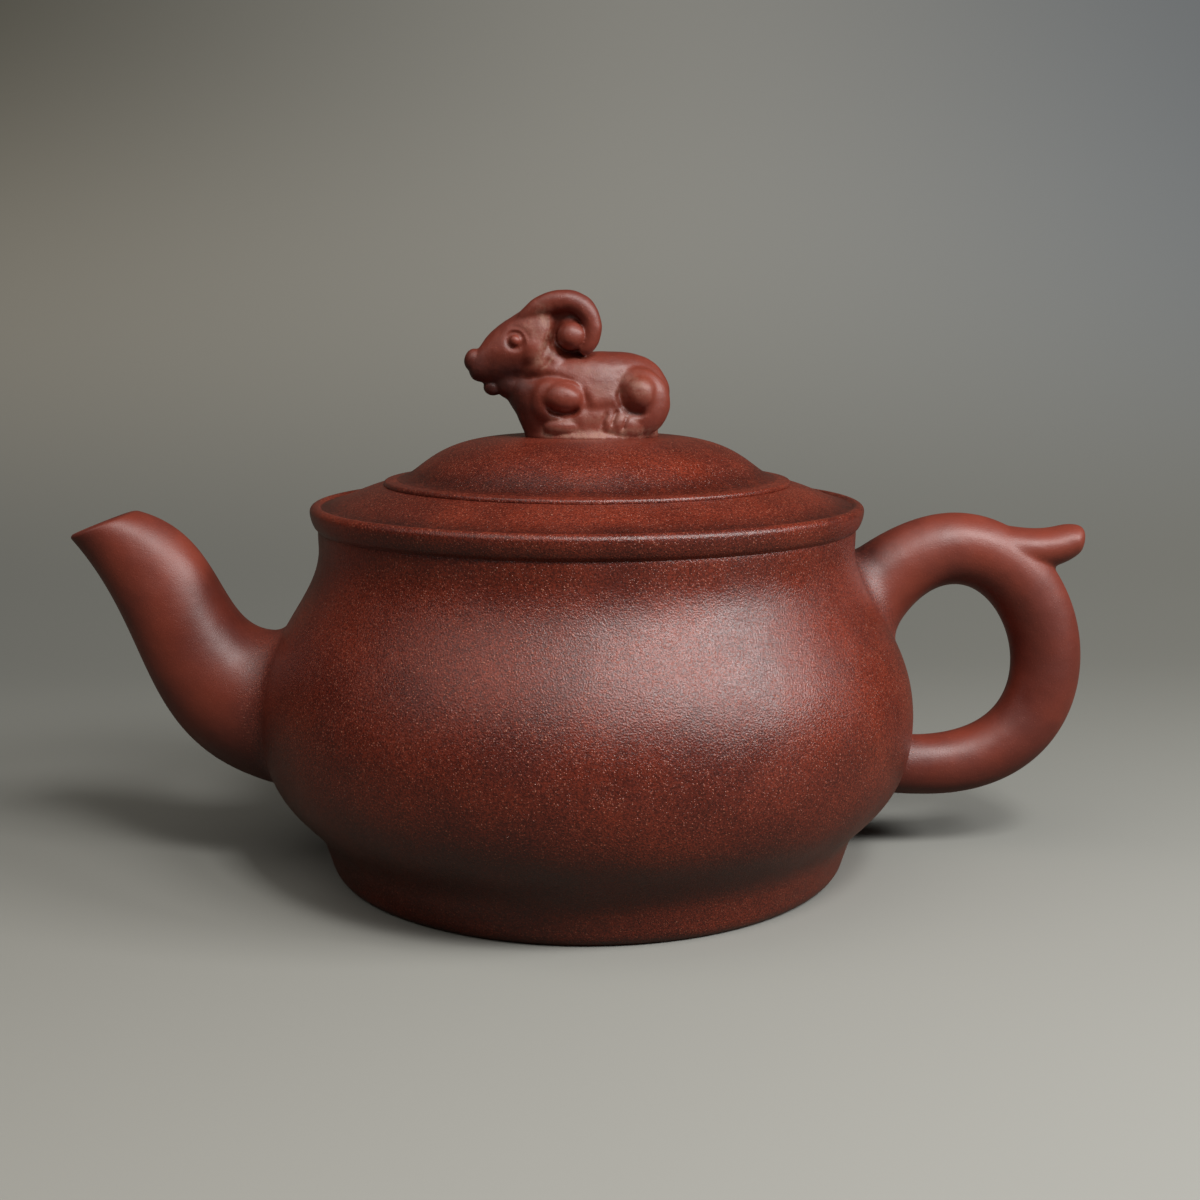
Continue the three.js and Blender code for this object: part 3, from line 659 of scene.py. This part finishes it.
def roll(section, steps, around):
    """A closed roll of clay: section(t) gives its centre and its two half axes, for t from 0 to 1."""
    bm = bmesh.new()
    line = [bm.verts.new((0, 0, 0))]
    line += [bm.verts.new((1, 0, step / steps)) for step in range(steps + 1)]
    line.append(bm.verts.new((0, 0, 1)))
    edges = [bm.edges.new(pair) for pair in zip(line, line[1:])]
    spun(bm, line + edges, around)
    bmesh.ops.remove_doubles(bm, verts=bm.verts, dist=1e-6)
    for vert in bm.verts:
        centre, across, depth = section(vert.co.z)
        vert.co = centre + across * vert.co.x + depth * vert.co.y
    bmesh.ops.recalc_face_normals(bm, faces=bm.faces)
    return bm


def tail_section(t):
    """The tail across its length, closed to a round tip."""
    t = math.sin(t * math.pi / 2)
    low, high = TAIL_UNDER(t), TAIL_TOP(t)
    rounding = max(0.0, (t - (1 - TAIL_ROUNDING)) / TAIL_ROUNDING)
    closed = math.sqrt(max(0.0, 1 - rounding**2)) * 0.995 + 0.005
    middle = (low + high) / 2
    across = (high - low) / 2 * closed
    width = (TAIL_WIDTHS[0] * (1 - t) + TAIL_WIDTHS[1] * t) * closed
    return Vector((middle.x, 0, middle.y)), Vector((across.x, 0, across.y)), Vector((0, width, 0))


def fused(parts, voxel, passes):
    """One skin over parts of wet clay that are pressed together, smoothed as a finger smooths it."""
    whole = bpy.data.meshes.new("pressed together")
    bm = bmesh.new()
    for part in parts:
        part.to_mesh(whole)
        part.free()
        bm.from_mesh(whole)
    bm.to_mesh(whole)
    bm.free()
    lump = bpy.data.objects.new("lump", whole)
    bpy.context.scene.collection.objects.link(lump)
    skinned = lump.modifiers.new("one skin", "REMESH")
    skinned.mode = "VOXEL"
    skinned.voxel_size = voxel
    smoothed = lump.modifiers.new("smoothed", "SMOOTH")
    smoothed.factor = 0.5
    smoothed.iterations = passes
    bpy.context.view_layer.update()
    mesh = bpy.data.meshes.new_from_object(lump.evaluated_get(bpy.context.evaluated_depsgraph_get()))
    bpy.data.objects.remove(lump)
    bm = bmesh.new()
    bm.from_mesh(mesh)
    bpy.data.meshes.remove(mesh)
    bpy.data.meshes.remove(whole)
    return bm


def two_root_skin(rings, around):
    """A solid roll through rings of places, closed at both its ends inside the pot's wall."""
    count = len(rings[0])
    bm = bmesh.new()
    line = [bm.verts.new((0, 0, 0))]
    line += [bm.verts.new((1, 0, ring)) for ring in range(count)]
    line.append(bm.verts.new((0, 0, count - 1)))
    edges = [bm.edges.new(pair) for pair in zip(line, line[1:])]
    spun(bm, line + edges, around)
    bmesh.ops.remove_doubles(bm, verts=bm.verts, dist=1e-6)
    caps = [sum((ring[index] for ring in rings), Vector()) / around for index in (0, -1)]
    for vert in bm.verts:
        if math.hypot(vert.co.x, vert.co.y) < 0.5:
            vert.co = on_pot(caps[0] if vert.co.z < 1 else caps[1], 1.6)
        else:
            turn = round(math.atan2(vert.co.y, vert.co.x) / (2 * math.pi) * around) % around
            vert.co = rings[turn][round(vert.co.z)]
    bmesh.ops.recalc_face_normals(bm, faces=bm.faces)
    return bm


handle = fused([two_root_skin(handle_rings, HANDLE_AROUND), roll(tail_section, 60, 64)], HANDLE_SKIN, 8)
handle = clay_piece("handle_and_tail", handle, SMOOTH, 60)
shaded(handle, "sand", lambda x, y, z: 0.12 + 0.88 * np.clip(1 - out_of_pot(x, y, z) / 3.5, 0, 1))
# Painted shade on top of the upper root, next to the neck, where it faces away from the lamps.
shaded(handle, "painted_shade", lambda x, y, z: 0.9 * np.clip((48.5 - x) / 5, 0, 1) * np.clip((z - 44.5) / 4, 0, 1))
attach(handle, "pot")
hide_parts("handle_loop", "thumb_rest")

# Lid plate.
# The thin flat disc that lies on the shoulder, turned from sandy clay and open in the middle. The dome
# stands on it and the flange hangs under it, both luted on before firing.
PLATE_THICKNESS = 0.85
PLATE_EDGE = 0.65
PLATE_SLOPE = 2.2
FLANGE_RADIUS = 27.5
FLANGE_INNER = 25.1
plate_top = SEAT_HEIGHT + PLATE_THICKNESS
plate = turned(
    [
        (FLANGE_INNER, SEAT_HEIGHT), (LID_RADIUS, SEAT_HEIGHT), (LID_RADIUS, SEAT_HEIGHT + PLATE_EDGE),
        (LID_RADIUS - PLATE_SLOPE, plate_top), (FLANGE_INNER, plate_top),
    ],
    [(1, 0.12), (2, 0.42)],
)
plate = clay_piece("plate", plate, GRAINED)
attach(plate, "lid")
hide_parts("lid_plate")

# Lid dome.
# The hollow dome raised on the plate, of the same sandy clay, beaten over a mould. A small hole behind
# the ram, made with a pin, lets the air in while tea is poured.
DOME_TOP = 66.15
DOME_THICKNESS = 2.8
KNOB_SEAT = 11.0
DOME_BEND = (171, 0.2, 180, 0.675)
VENT_RADIUS = 1.1
VENT_LENGTH = 12
VENT_BEHIND = 14.5
dome_hollow = DOME_TOP - DOME_THICKNESS
dome = turned([
    (0, dome_hollow),
    *reversed(bent((FLANGE_INNER, plate_top), (KNOB_SEAT - DOME_THICKNESS, dome_hollow), DOME_BEND, 18)),
    *bent((LID_RADIUS - 2, plate_top), (KNOB_SEAT, DOME_TOP), DOME_BEND, 34),
    (0, DOME_TOP),
])
dome = clay_piece("dome", dome, GRAINED)


def dome_painted_shade(x, y, z):
    """Painted shade in the hollow round the dome's foot."""
    return 0.75 * np.clip((62.6 - z) / 1.6, 0, 1) * np.clip((29.6 - np.hypot(x, y)) / 1.5, 0, 1)


# Painted shade in the hollow round the dome's foot.
shaded(dome, "painted_shade", dome_painted_shade)
vent = bmesh.new()
pin(vent, VENT_RADIUS, VENT_LENGTH, Matrix.Translation((0, VENT_BEHIND, dome_hollow)), 32)
bored(dome, vent)
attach(dome, "lid")
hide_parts("lid_dome")

# Lid flange.
# The ring under the lid, cut from a strip of sandy clay and luted on. It drops into the mouth and
# keeps the lid in place while tea is poured.
FLANGE_DEPTH = 5.6
flange_bottom = SEAT_HEIGHT - FLANGE_DEPTH
flange = turned(
    [
        (FLANGE_INNER, flange_bottom), (FLANGE_RADIUS - 0.5, flange_bottom),
        (FLANGE_RADIUS, flange_bottom + 0.8), (FLANGE_RADIUS, SEAT_HEIGHT), (FLANGE_INNER, SEAT_HEIGHT),
    ],
    [(0, 0.4), (1, 0.3)],
)
flange = clay_piece("flange", flange, GRAINED)
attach(flange, "lid")
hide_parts("lid_flange")

# Ram.
# The knob: a crouching ram of smooth clay, modelled by hand from a loaf for its trunk, a pear for its
# head, rolls for its horns and pellets for the rest, pressed into one lump and then worked over with a
# rounded stick. It is set on the dome with slip, which stands up round its base.
MASS_SKIN = 0.3
RAM_SKIN = 0.17


def pellet(place, half_sizes, tilt=0.0):
    """A ball of clay pressed to its half length, width and height, and tilted nose down in degrees."""
    bm = bmesh.new()
    bmesh.ops.create_uvsphere(bm, u_segments=40, v_segments=24, radius=1)
    turned_down = Matrix.Translation(place) @ Matrix.Rotation(math.radians(-tilt), 4, "Y")
    bmesh.ops.transform(bm, matrix=turned_down @ Matrix.Diagonal((*half_sizes, 1)), verts=bm.verts)
    return bm


def both_sides(place, half_sizes, tilt=0.0):
    """The same pellet on the ram's right side and, mirrored, on its left."""
    return [pellet((place[0], side * place[1], place[2]), half_sizes, tilt) for side in (1, -1)]


def eased(t, shares, values):
    """A smooth run through values at given shares of a length."""
    t = max(shares[0], min(shares[-1], t))
    index = max(0, min(len(shares) - 2, int(np.searchsorted(shares, t, "right")) - 1))
    run = shares[index + 1] - shares[index]
    slopes = []
    for here in (index, index + 1):
        before, after = max(0, here - 1), min(len(shares) - 1, here + 1)
        slopes.append((values[after] - values[before]) / (shares[after] - shares[before]) * run)
    s = (t - shares[index]) / run
    low, high = values[index], values[index + 1]
    return (
        low * (2 * s**3 - 3 * s**2 + 1) + slopes[0] * (s**3 - 2 * s**2 + s)
        + high * (3 * s**2 - 2 * s**3) + slopes[1] * (s**3 - s**2)
    )


def eased_row(t, rows):
    """A smooth run through evenly spaced rows of values, from the first row to the last."""
    count = len(rows) - 1
    shares = [row / count for row in range(count + 1)]
    return [eased(t, shares, values) for values in zip(*rows)]


# Height over the dome, the chest's and the rump's x, and the half width.
TRUNK = (
    (-0.3, -9.4, 10.9, 7.0), (0.25, -9.4, 10.8, 6.9), (1.1, -9.65, 10.7, 6.35), (3.5, -10.8, 11.7, 6.45),
    (5.8, -12.0, 12.45, 6.3), (7.85, -12.1, 12.3, 5.8), (10.4, -10.4, 10.8, 4.9), (11.8, -8.0, 8.9, 3.7),
    (12.5, -5.0, 6.6, 2.5), (12.75, -2.0, 4.6, 0.8),
)


def trunk_section(t):
    height, chest, rump, width = eased_row(t, TRUNK)
    middle = Vector(((chest + rump) / 2, 0, DOME_TOP + height))
    return middle, Vector(((rump - chest) / 2, 0, 0)), Vector((0, width, 0))


# The head's top line, its underside, and its half width, from the muzzle to the poll.
HEAD = (
    (-17.3, 78.2, -17.9, 76.2, 1.1), (-16.3, 79.3, -17.2, 74.7, 2.0), (-14.8, 81.3, -15.2, 74.1, 2.6),
    (-13.3, 82.6, -13.2, 74.2, 3.4), (-11.3, 84.0, -10.9, 74.6, 4.1), (-9.1, 85.4, -8.6, 75.5, 4.5),
    (-7.0, 86.3, -6.6, 76.7, 4.4), (-5.2, 86.8, -5.6, 78.5, 3.7), (-3.0, 86.3, -4.4, 80.5, 2.4),
)


def head_section(t):
    x1, z1, x2, z2, width = eased_row(t, HEAD)
    middle = Vector(((x1 + x2) / 2, 0, (z1 + z2) / 2))
    return middle, Vector(((x1 - x2) / 2, 0, (z1 - z2) / 2)), Vector((0, width, 0))


# The horn's middle line (x, distance from the ram's middle, z) and its radius, from the brow to its tip.
HORN = (
    (-10.3, 1.4, 82.7, 1.0), (-8.7, 2.2, 84.2, 1.35), (-7.1, 2.7, 85.4, 1.55), (-5.2, 3.1, 86.1, 1.65),
    (-3.0, 3.4, 86.3, 1.65), (-1.2, 3.7, 85.7, 1.6), (0.0, 4.0, 84.4, 1.5), (0.6, 4.1, 82.6, 1.35),
    (0.45, 4.1, 80.9, 1.25), (-0.2, 4.0, 79.7, 1.15), (-1.2, 3.7, 79.2, 1.0),
)


def horn_section(t, side):
    shares = (t, max(0, t - 0.01), min(1, t + 0.01))
    here, before, after = [Vector(eased_row(share, HORN)) for share in shares]
    along = (after - before).to_3d().normalized()
    across = Vector((-along.z, 0, along.x)).normalized()
    depth = across.cross(along)
    flip = Vector((1, side, 1))
    return here.to_3d() * flip, across * here.w * flip, depth * here.w * flip


BUD = (-2.5, 4.0, 81.2)
EYE = (-10.8, 3.75, 80.5)
HORN_ROOT_SHARE = 0.42
mass = fused([
    *[roll(lambda t: horn_section(HORN_ROOT_SHARE * t, side), 40, 32) for side in (1, -1)],
    roll(trunk_section, 60, 96),
    roll(head_section, 60, 64),
    *both_sides((-8.2, 2.6, 79.5), (2.6, 2.2, 3.2)),
    pellet((-2.4, 0, 82.2), (3.3, 4.3, 4.2)),
    *both_sides((7.3, 3.9, 71.4), (4.9, 2.7, 5.2)),
    *both_sides((-4.3, 3.9, 71.6), (4.4, 2.7, 4.2)),
    *both_sides((-3.7, 5.6, 72.3), (3.1, 2.3, 2.4), 6),
    *both_sides((7.5, 5.2, 72.8), (2.5, 2.5, 2.6)),
    pellet((-6.3, 0, 76.5), (4.5, 4.6, 5.0)),
    pellet((-11.5, 0, 74.3), (2.6, 2.3, 2.5)),
], MASS_SKIN, 8)
figure = fused([
    mass,
    *[roll(lambda t: horn_section(t, side), 80, 40) for side in (1, -1)],
    *both_sides(BUD, (2.1, 2.0, 2.1)),
    *both_sides((-3.4, 4.7, 67.9), (3.4, 1.8, 1.5)),
    *both_sides((4.2, 4.6, 68.2), (4.6, 2.1, 2.6)),
    pellet((-16.8, 0, 77.5), (1.65, 1.75, 1.8)),
    pellet((-14.1, 0, 73.6), (1.5, 1.4, 1.3)),
], RAM_SKIN, 4)


def around_place(place, radius, first, last):
    """A stroke round a place, from one angle to another in degrees."""
    return [
        (place[0] + radius * math.cos(math.radians(a)), place[2] + radius * math.sin(math.radians(a)))
        for a in np.linspace(first, last, 13)
    ]


# Strokes of a rounded stick along each side: the path as (x, z), half the width, and the depth, which is
# negative where clay was raised.
STROKES = (
    (around_place(BUD, 2.4, 120, 285), 0.7, 0.6),
    ([(-4.7, 82.9), (-3.9, 83.7), (-2.7, 84.0), (-1.5, 83.6), (-0.9, 82.8)], 0.6, 0.35),
    ([(-5.3, 84.6), (-5.2, 82.5), (-5.2, 80.6), (-5.2, 79.0)], 0.8, 0.35),
    ([(-5.5, 78.0), (-5.9, 77.2), (-6.6, 76.3), (-7.6, 75.6), (-8.9, 75.0), (-10.6, 74.6)], 0.8, 0.35),
    (around_place(EYE, 1.15, 60, 330), 0.5, 0.38),
    (around_place(EYE, 1.15, -60, 100), 0.45, 0.3),
    (around_place(EYE, 1.9, 0, 110), 0.5, -0.15),
    ([(-9.3, 74.0), (-7.8, 74.9), (-6.1, 75.2), (-4.3, 75.0), (-2.6, 74.3), (-1.1, 73.0), (-0.5, 71.6),
      (-0.5, 70.0)], 0.75, 0.5),
    ([(-6.4, 71.2), (-5.4, 70.3), (-4.0, 69.9), (-2.6, 69.9), (-1.3, 70.6)], 0.65, 1.0),
    ([(4.7, 74.2), (4.6, 72.5), (5.0, 71.1), (6.0, 70.2), (7.3, 69.9), (8.3, 70.0)], 0.75, 0.85),
    ([(4.0, 73.4), (4.9, 75.2), (6.3, 76.1), (8.0, 76.2)], 0.9, 0.2),
    ([(-0.6, 70.5), (1.0, 70.4), (2.6, 70.6), (4.2, 70.9)], 0.9, 0.25),
    ([(1.8, 67.8), (2.1, 69.0), (2.6, 70.1)], 0.3, 0.4),
    ([(3.3, 68.0), (3.6, 69.1), (4.1, 70.3)], 0.32, 0.5),
    ([(4.9, 67.4), (5.2, 68.5), (5.6, 69.5)], 0.3, 0.45),
    ([(-6.0, 84.4), (-5.9, 82.4), (-6.0, 80.4), (-6.4, 78.4)], 0.7, -0.22),
)


def off_path(x, z, path):
    """How far places are from a path, and the share of the path at which each comes nearest."""
    nearest, at = np.full(len(x), 1e9), np.zeros(len(x))
    for index, ((x0, z0), (x1, z1)) in enumerate(zip(path, path[1:])):
        run = (x1 - x0) ** 2 + (z1 - z0) ** 2
        share = np.clip(((x - x0) * (x1 - x0) + (z - z0) * (z1 - z0)) / run, 0, 1)
        away = np.hypot(x - x0 - share * (x1 - x0), z - z0 - share * (z1 - z0))
        at = np.where(away < nearest, (index + share) / (len(path) - 1), at)
        nearest = np.minimum(nearest, away)
    return nearest, at


UNSTROKED_MIDDLE = 1.2
HAND_DENTS = ((1.9, 0.07), (0.8, 0.02))


def stroked(bm):
    """Presses the strokes into both sides of the figure, each shallower towards its ends."""
    bm.normal_update()
    x, y, z = np.array([vert.co for vert in bm.verts]).T
    facing = np.clip(np.abs([vert.normal.y for vert in bm.verts]) * 2.2 - 0.2, 0, 1)
    facing *= np.abs(y) > UNSTROKED_MIDDLE
    pressed = np.zeros(len(x))
    for path, half_width, depth in STROKES:
        away, at = off_path(x, z, path)
        taper = np.minimum(1, 0.25 + 5 * np.minimum(at, 1 - at))
        pressed += depth * np.exp(-1.4 * (away / half_width) ** 2) * facing * taper
    worked = []
    for vert, depth in zip(bm.verts, pressed):
        if abs(depth) > 0.004:
            vert.co.y -= math.copysign(depth, vert.co.y)
            worked.append(vert)
    for _ in range(3):
        bmesh.ops.smooth_vert(bm, verts=worked, factor=0.5, use_axis_x=True, use_axis_y=True, use_axis_z=True)
    bm.normal_update()
    for vert in bm.verts:
        vert.co += vert.normal * sum(noise.noise(vert.co / size) * height for size, height in HAND_DENTS)


stroked(figure)
bmesh.ops.bisect_plane(
    figure, geom=list(figure.verts) + list(figure.edges) + list(figure.faces), dist=1e-4,
    plane_co=(0, 0, DOME_TOP), plane_no=(0, 0, 1), clear_inner=True)
bmesh.ops.holes_fill(figure, edges=[edge for edge in figure.edges if edge.is_boundary])
ram = clay_piece("ram", figure, SMOOTH, 60)
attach(ram, "lid")
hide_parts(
    "ram_body", "ram_head", "ram_nose", "ram_beard", "ram_horn_left", "ram_horn_right",
    "ram_foreleg_left", "ram_foreleg_right", "ram_hindleg_left", "ram_hindleg_right",
)

# Where dried slip and dust have stayed pale on it: (path, half width, share).
DUSTY = (
    ([(-6.9, 84.7), (-6.3, 82.3), (-6.2, 79.7), (-7.4, 77.6)], 1.0, 0.95),
    ([(-8.6, 82.6), (-7.2, 81.5)], 1.1, 0.6),
    ([(6.6, 74.1), (8.0, 73.2)], 1.3, 0.6),
    ([(-5.1, 78.6), (-5.5, 77.8), (-6.3, 76.8), (-7.0, 76.3)], 0.22, 1.0),
    ([(-1.0, 76.3), (2.0, 76.0), (5.0, 75.0)], 1.2, 0.35),
    ([(1.5, 73.5), (4.0, 73.0)], 1.5, 0.35),
    ([(-6.5, 67.0), (0.0, 66.8), (6.0, 66.9), (10.4, 67.1)], 0.75, 1.0),
    ([(0.0, 69.2), (6.5, 69.0)], 1.1, 0.35),
    ([(-5.6, 69.0), (-2.0, 68.6)], 0.5, 0.4),
)


def dusty(x, y, z):
    """How much pale dust lies on places of the ram, from 0 to 1."""
    most = np.zeros(len(x))
    for path, half_width, share in DUSTY:
        most = np.maximum(most, share * np.exp(-((off_path(x, z, path)[0] / half_width) ** 2)))
    return most


shaded(ram, "sand", lambda x, y, z: 0.2 + 0 * x)
# Painted shade under the muzzle and on the chest, the side turned away from the lamps.
shaded(ram, "painted_shade", lambda x, y, z: np.clip((-7.0 - x) / 4, 0, 1) * np.clip((79.5 - z) / 3.5, 0, 1))
shaded(ram, "dust", dusty)

# Ram's eyes.
# Two small balls of the same smooth clay, rolled between the fingers, each pressed into its socket
# with a touch of slip.
EYE_RADIUS = 0.85
EYE_SUNK = 0.15
for side, name in ((1, "right"), (-1, "left")):
    eye = pellet((EYE[0], side * (EYE[1] - EYE_SUNK), EYE[2]), (EYE_RADIUS, EYE_RADIUS, EYE_RADIUS))
    eye = clay_piece("eye_" + name, eye, SMOOTH, 60)
    shaded(eye, "sand", lambda x, y, z: 0.05 + 0 * x)
    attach(eye, "lid")
    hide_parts("ram_eye_" + name)

# Table and backdrop.
# One sheet of pale warm grey card, laid flat under the pot and swept up close behind it. It is matt, and
# its colour is painted darker towards its top, its left side and behind the pot: painted shade where the
# lamps' light falls off. Its sizes are in metres.
CARD_FRONT = -1.2
CARD_TOP = 1.6
CARD_HALF_WIDTH = 1.6
CARD_CURVE_START = 0.14
CARD_CURVE = 0.5
sweep = bmesh.new()
card = [(CARD_FRONT, 0.0)]
for angle in np.linspace(0, math.pi / 2, 33):
    card.append((CARD_CURVE_START + CARD_CURVE * math.sin(angle), CARD_CURVE - CARD_CURVE * math.cos(angle)))
card.append((CARD_CURVE_START + CARD_CURVE, CARD_TOP))
line = [sweep.verts.new((-CARD_HALF_WIDTH, y, z)) for y, z in card]
edges = [sweep.edges.new(pair) for pair in zip(line, line[1:])]
swept = bmesh.ops.extrude_edge_only(sweep, edges=edges)["geom"]
far_side = [element for element in swept if isinstance(element, bmesh.types.BMVert)]
bmesh.ops.translate(sweep, vec=(2 * CARD_HALF_WIDTH, 0, 0), verts=far_side)
bmesh.ops.recalc_face_normals(sweep, faces=sweep.faces)
sheet_mesh = bpy.data.meshes.new("card")
sweep.to_mesh(sheet_mesh)
sweep.free()
sheet_mesh.shade_smooth()
card_piece = bpy.data.objects.new("card", sheet_mesh)
bpy.context.scene.collection.objects.link(card_piece)
card_material = bpy.data.materials.new("pale card")
card_material.use_nodes = True
card_tree = card_material.node_tree
card_shader = card_tree.nodes["Principled BSDF"]
card_place = card_tree.nodes.new("ShaderNodeTexCoord").outputs["Object"]
card_place = add_node(card_tree, "ShaderNodeSeparateXYZ", {"Vector": card_place})
# Painted shade: the floor is darker in a band behind the pot and towards the left, and the backdrop towards
# its top left, where the lamps' light falls off.
behind = mapped(card_tree, card_place.outputs["Y"], -0.14, 0.16)
far_back = mapped(card_tree, card_place.outputs["Y"], 0.22, 0.52)
from_left = mapped(card_tree, card_place.outputs["X"], -0.4, 0.15)
to_right = mapped(card_tree, card_place.outputs["X"], 0.0, 0.4)
high_up = mapped(card_tree, card_place.outputs["Z"], 0.02, 0.26)
back_left = mixed_colour(card_tree, high_up, colour(178, 172, 157), colour(96, 94, 81))
back_right = mixed_colour(card_tree, to_right, colour(175, 175, 168), colour(150, 156, 160))
back_colour = mixed_colour(card_tree, from_left, back_left, back_right)
floor_near = mixed_colour(card_tree, from_left, colour(142, 139, 129), colour(164, 165, 160))
floor_colour = mixed_colour(card_tree, behind, floor_near, colour(130, 131, 125))
card_colour = mixed_colour(card_tree, far_back, floor_colour, back_colour)
# The light that the card throws back on the pot is held down, as in a room where most of it is in shade.
CARD_MIRRORED = colour(100, 97, 88)
CARD_BOUNCED = colour(52, 48, 43)
rays = card_tree.nodes.new("ShaderNodeLightPath").outputs
card_colour = mixed_colour(card_tree, rays["Is Glossy Ray"], card_colour, CARD_MIRRORED)
card_colour = mixed_colour(card_tree, rays["Is Diffuse Ray"], card_colour, CARD_BOUNCED)
card_tree.links.new(card_colour, card_shader.inputs["Base Color"])
card_shader.inputs["Roughness"].default_value = 0.8
card_shader.inputs["Specular IOR Level"].default_value = 0.2
sheet_mesh.materials.append(card_material)

# Light.
# Three panes of one soft window high to the front right, a wide pale ceiling to the front left that
# fills the shadows, and a dim room all round.
AIM_HEIGHT = 0.035


def soft_lamp(name, azimuth, elevation, distance, size, power, tint):
    """A rectangular lamp aimed at the pot; azimuth counts from the camera's side towards +X."""
    lamp = bpy.data.lights.new(name, "AREA")
    lamp.shape = "RECTANGLE"
    lamp.size, lamp.size_y = size
    lamp.energy = power
    lamp.color = tint
    stand = bpy.data.objects.new(name, lamp)
    level = math.cos(math.radians(elevation)) * distance
    stand.location = (
        level * math.sin(math.radians(azimuth)), -level * math.cos(math.radians(azimuth)),
        AIM_HEIGHT + distance * math.sin(math.radians(elevation)),
    )
    aim = Vector((0, 0, AIM_HEIGHT)) - stand.location
    stand.rotation_euler = aim.to_track_quat("-Z", "Y").to_euler()
    bpy.context.scene.collection.objects.link(stand)


soft_lamp("window right", 65, 31, 0.6, (0.19, 0.11), 1.9, (1.0, 0.98, 0.97))
soft_lamp("window middle", 42, 43, 0.6, (0.15, 0.14), 1.1, (1.0, 0.98, 0.97))
soft_lamp("window left", 19, 51, 0.6, (0.12, 0.14), 1.6, (1.0, 0.98, 0.97))
soft_lamp("ceiling", -36, 58, 0.8, (1.0, 0.8), 2.6, (1.0, 0.94, 0.88))
world = bpy.data.worlds.new("room")
world.use_nodes = True
world.node_tree.nodes["Background"].inputs["Color"].default_value = (0.9, 0.95, 1.0, 1)
world.node_tree.nodes["Background"].inputs["Strength"].default_value = 0.02
bpy.context.scene.world = world
bpy.context.scene.view_settings.view_transform = "Standard"

# Camera.
# It stands a little to the left of the pot's middle, close to it, and looks down on it by under ten
# degrees. Its place and tilt come from the ellipses of the foot, the rim and the lid.
CAMERA_PLACE = (-0.01282, -0.24466, 0.0824)
LOOKS_DOWN = 9.611
TURNED_RIGHT = 3.45
LENS = 48.27
FILM_WIDTH = 36
camera_data = bpy.data.cameras.new("camera")
camera_data.lens = LENS
camera_data.sensor_width = FILM_WIDTH
camera_data.clip_start = 0.01
camera = bpy.data.objects.new("camera", camera_data)
camera.location = CAMERA_PLACE
camera.rotation_euler = (math.radians(90 - LOOKS_DOWN), 0, math.radians(-TURNED_RIGHT))
bpy.context.scene.collection.objects.link(camera)
bpy.context.scene.camera = camera
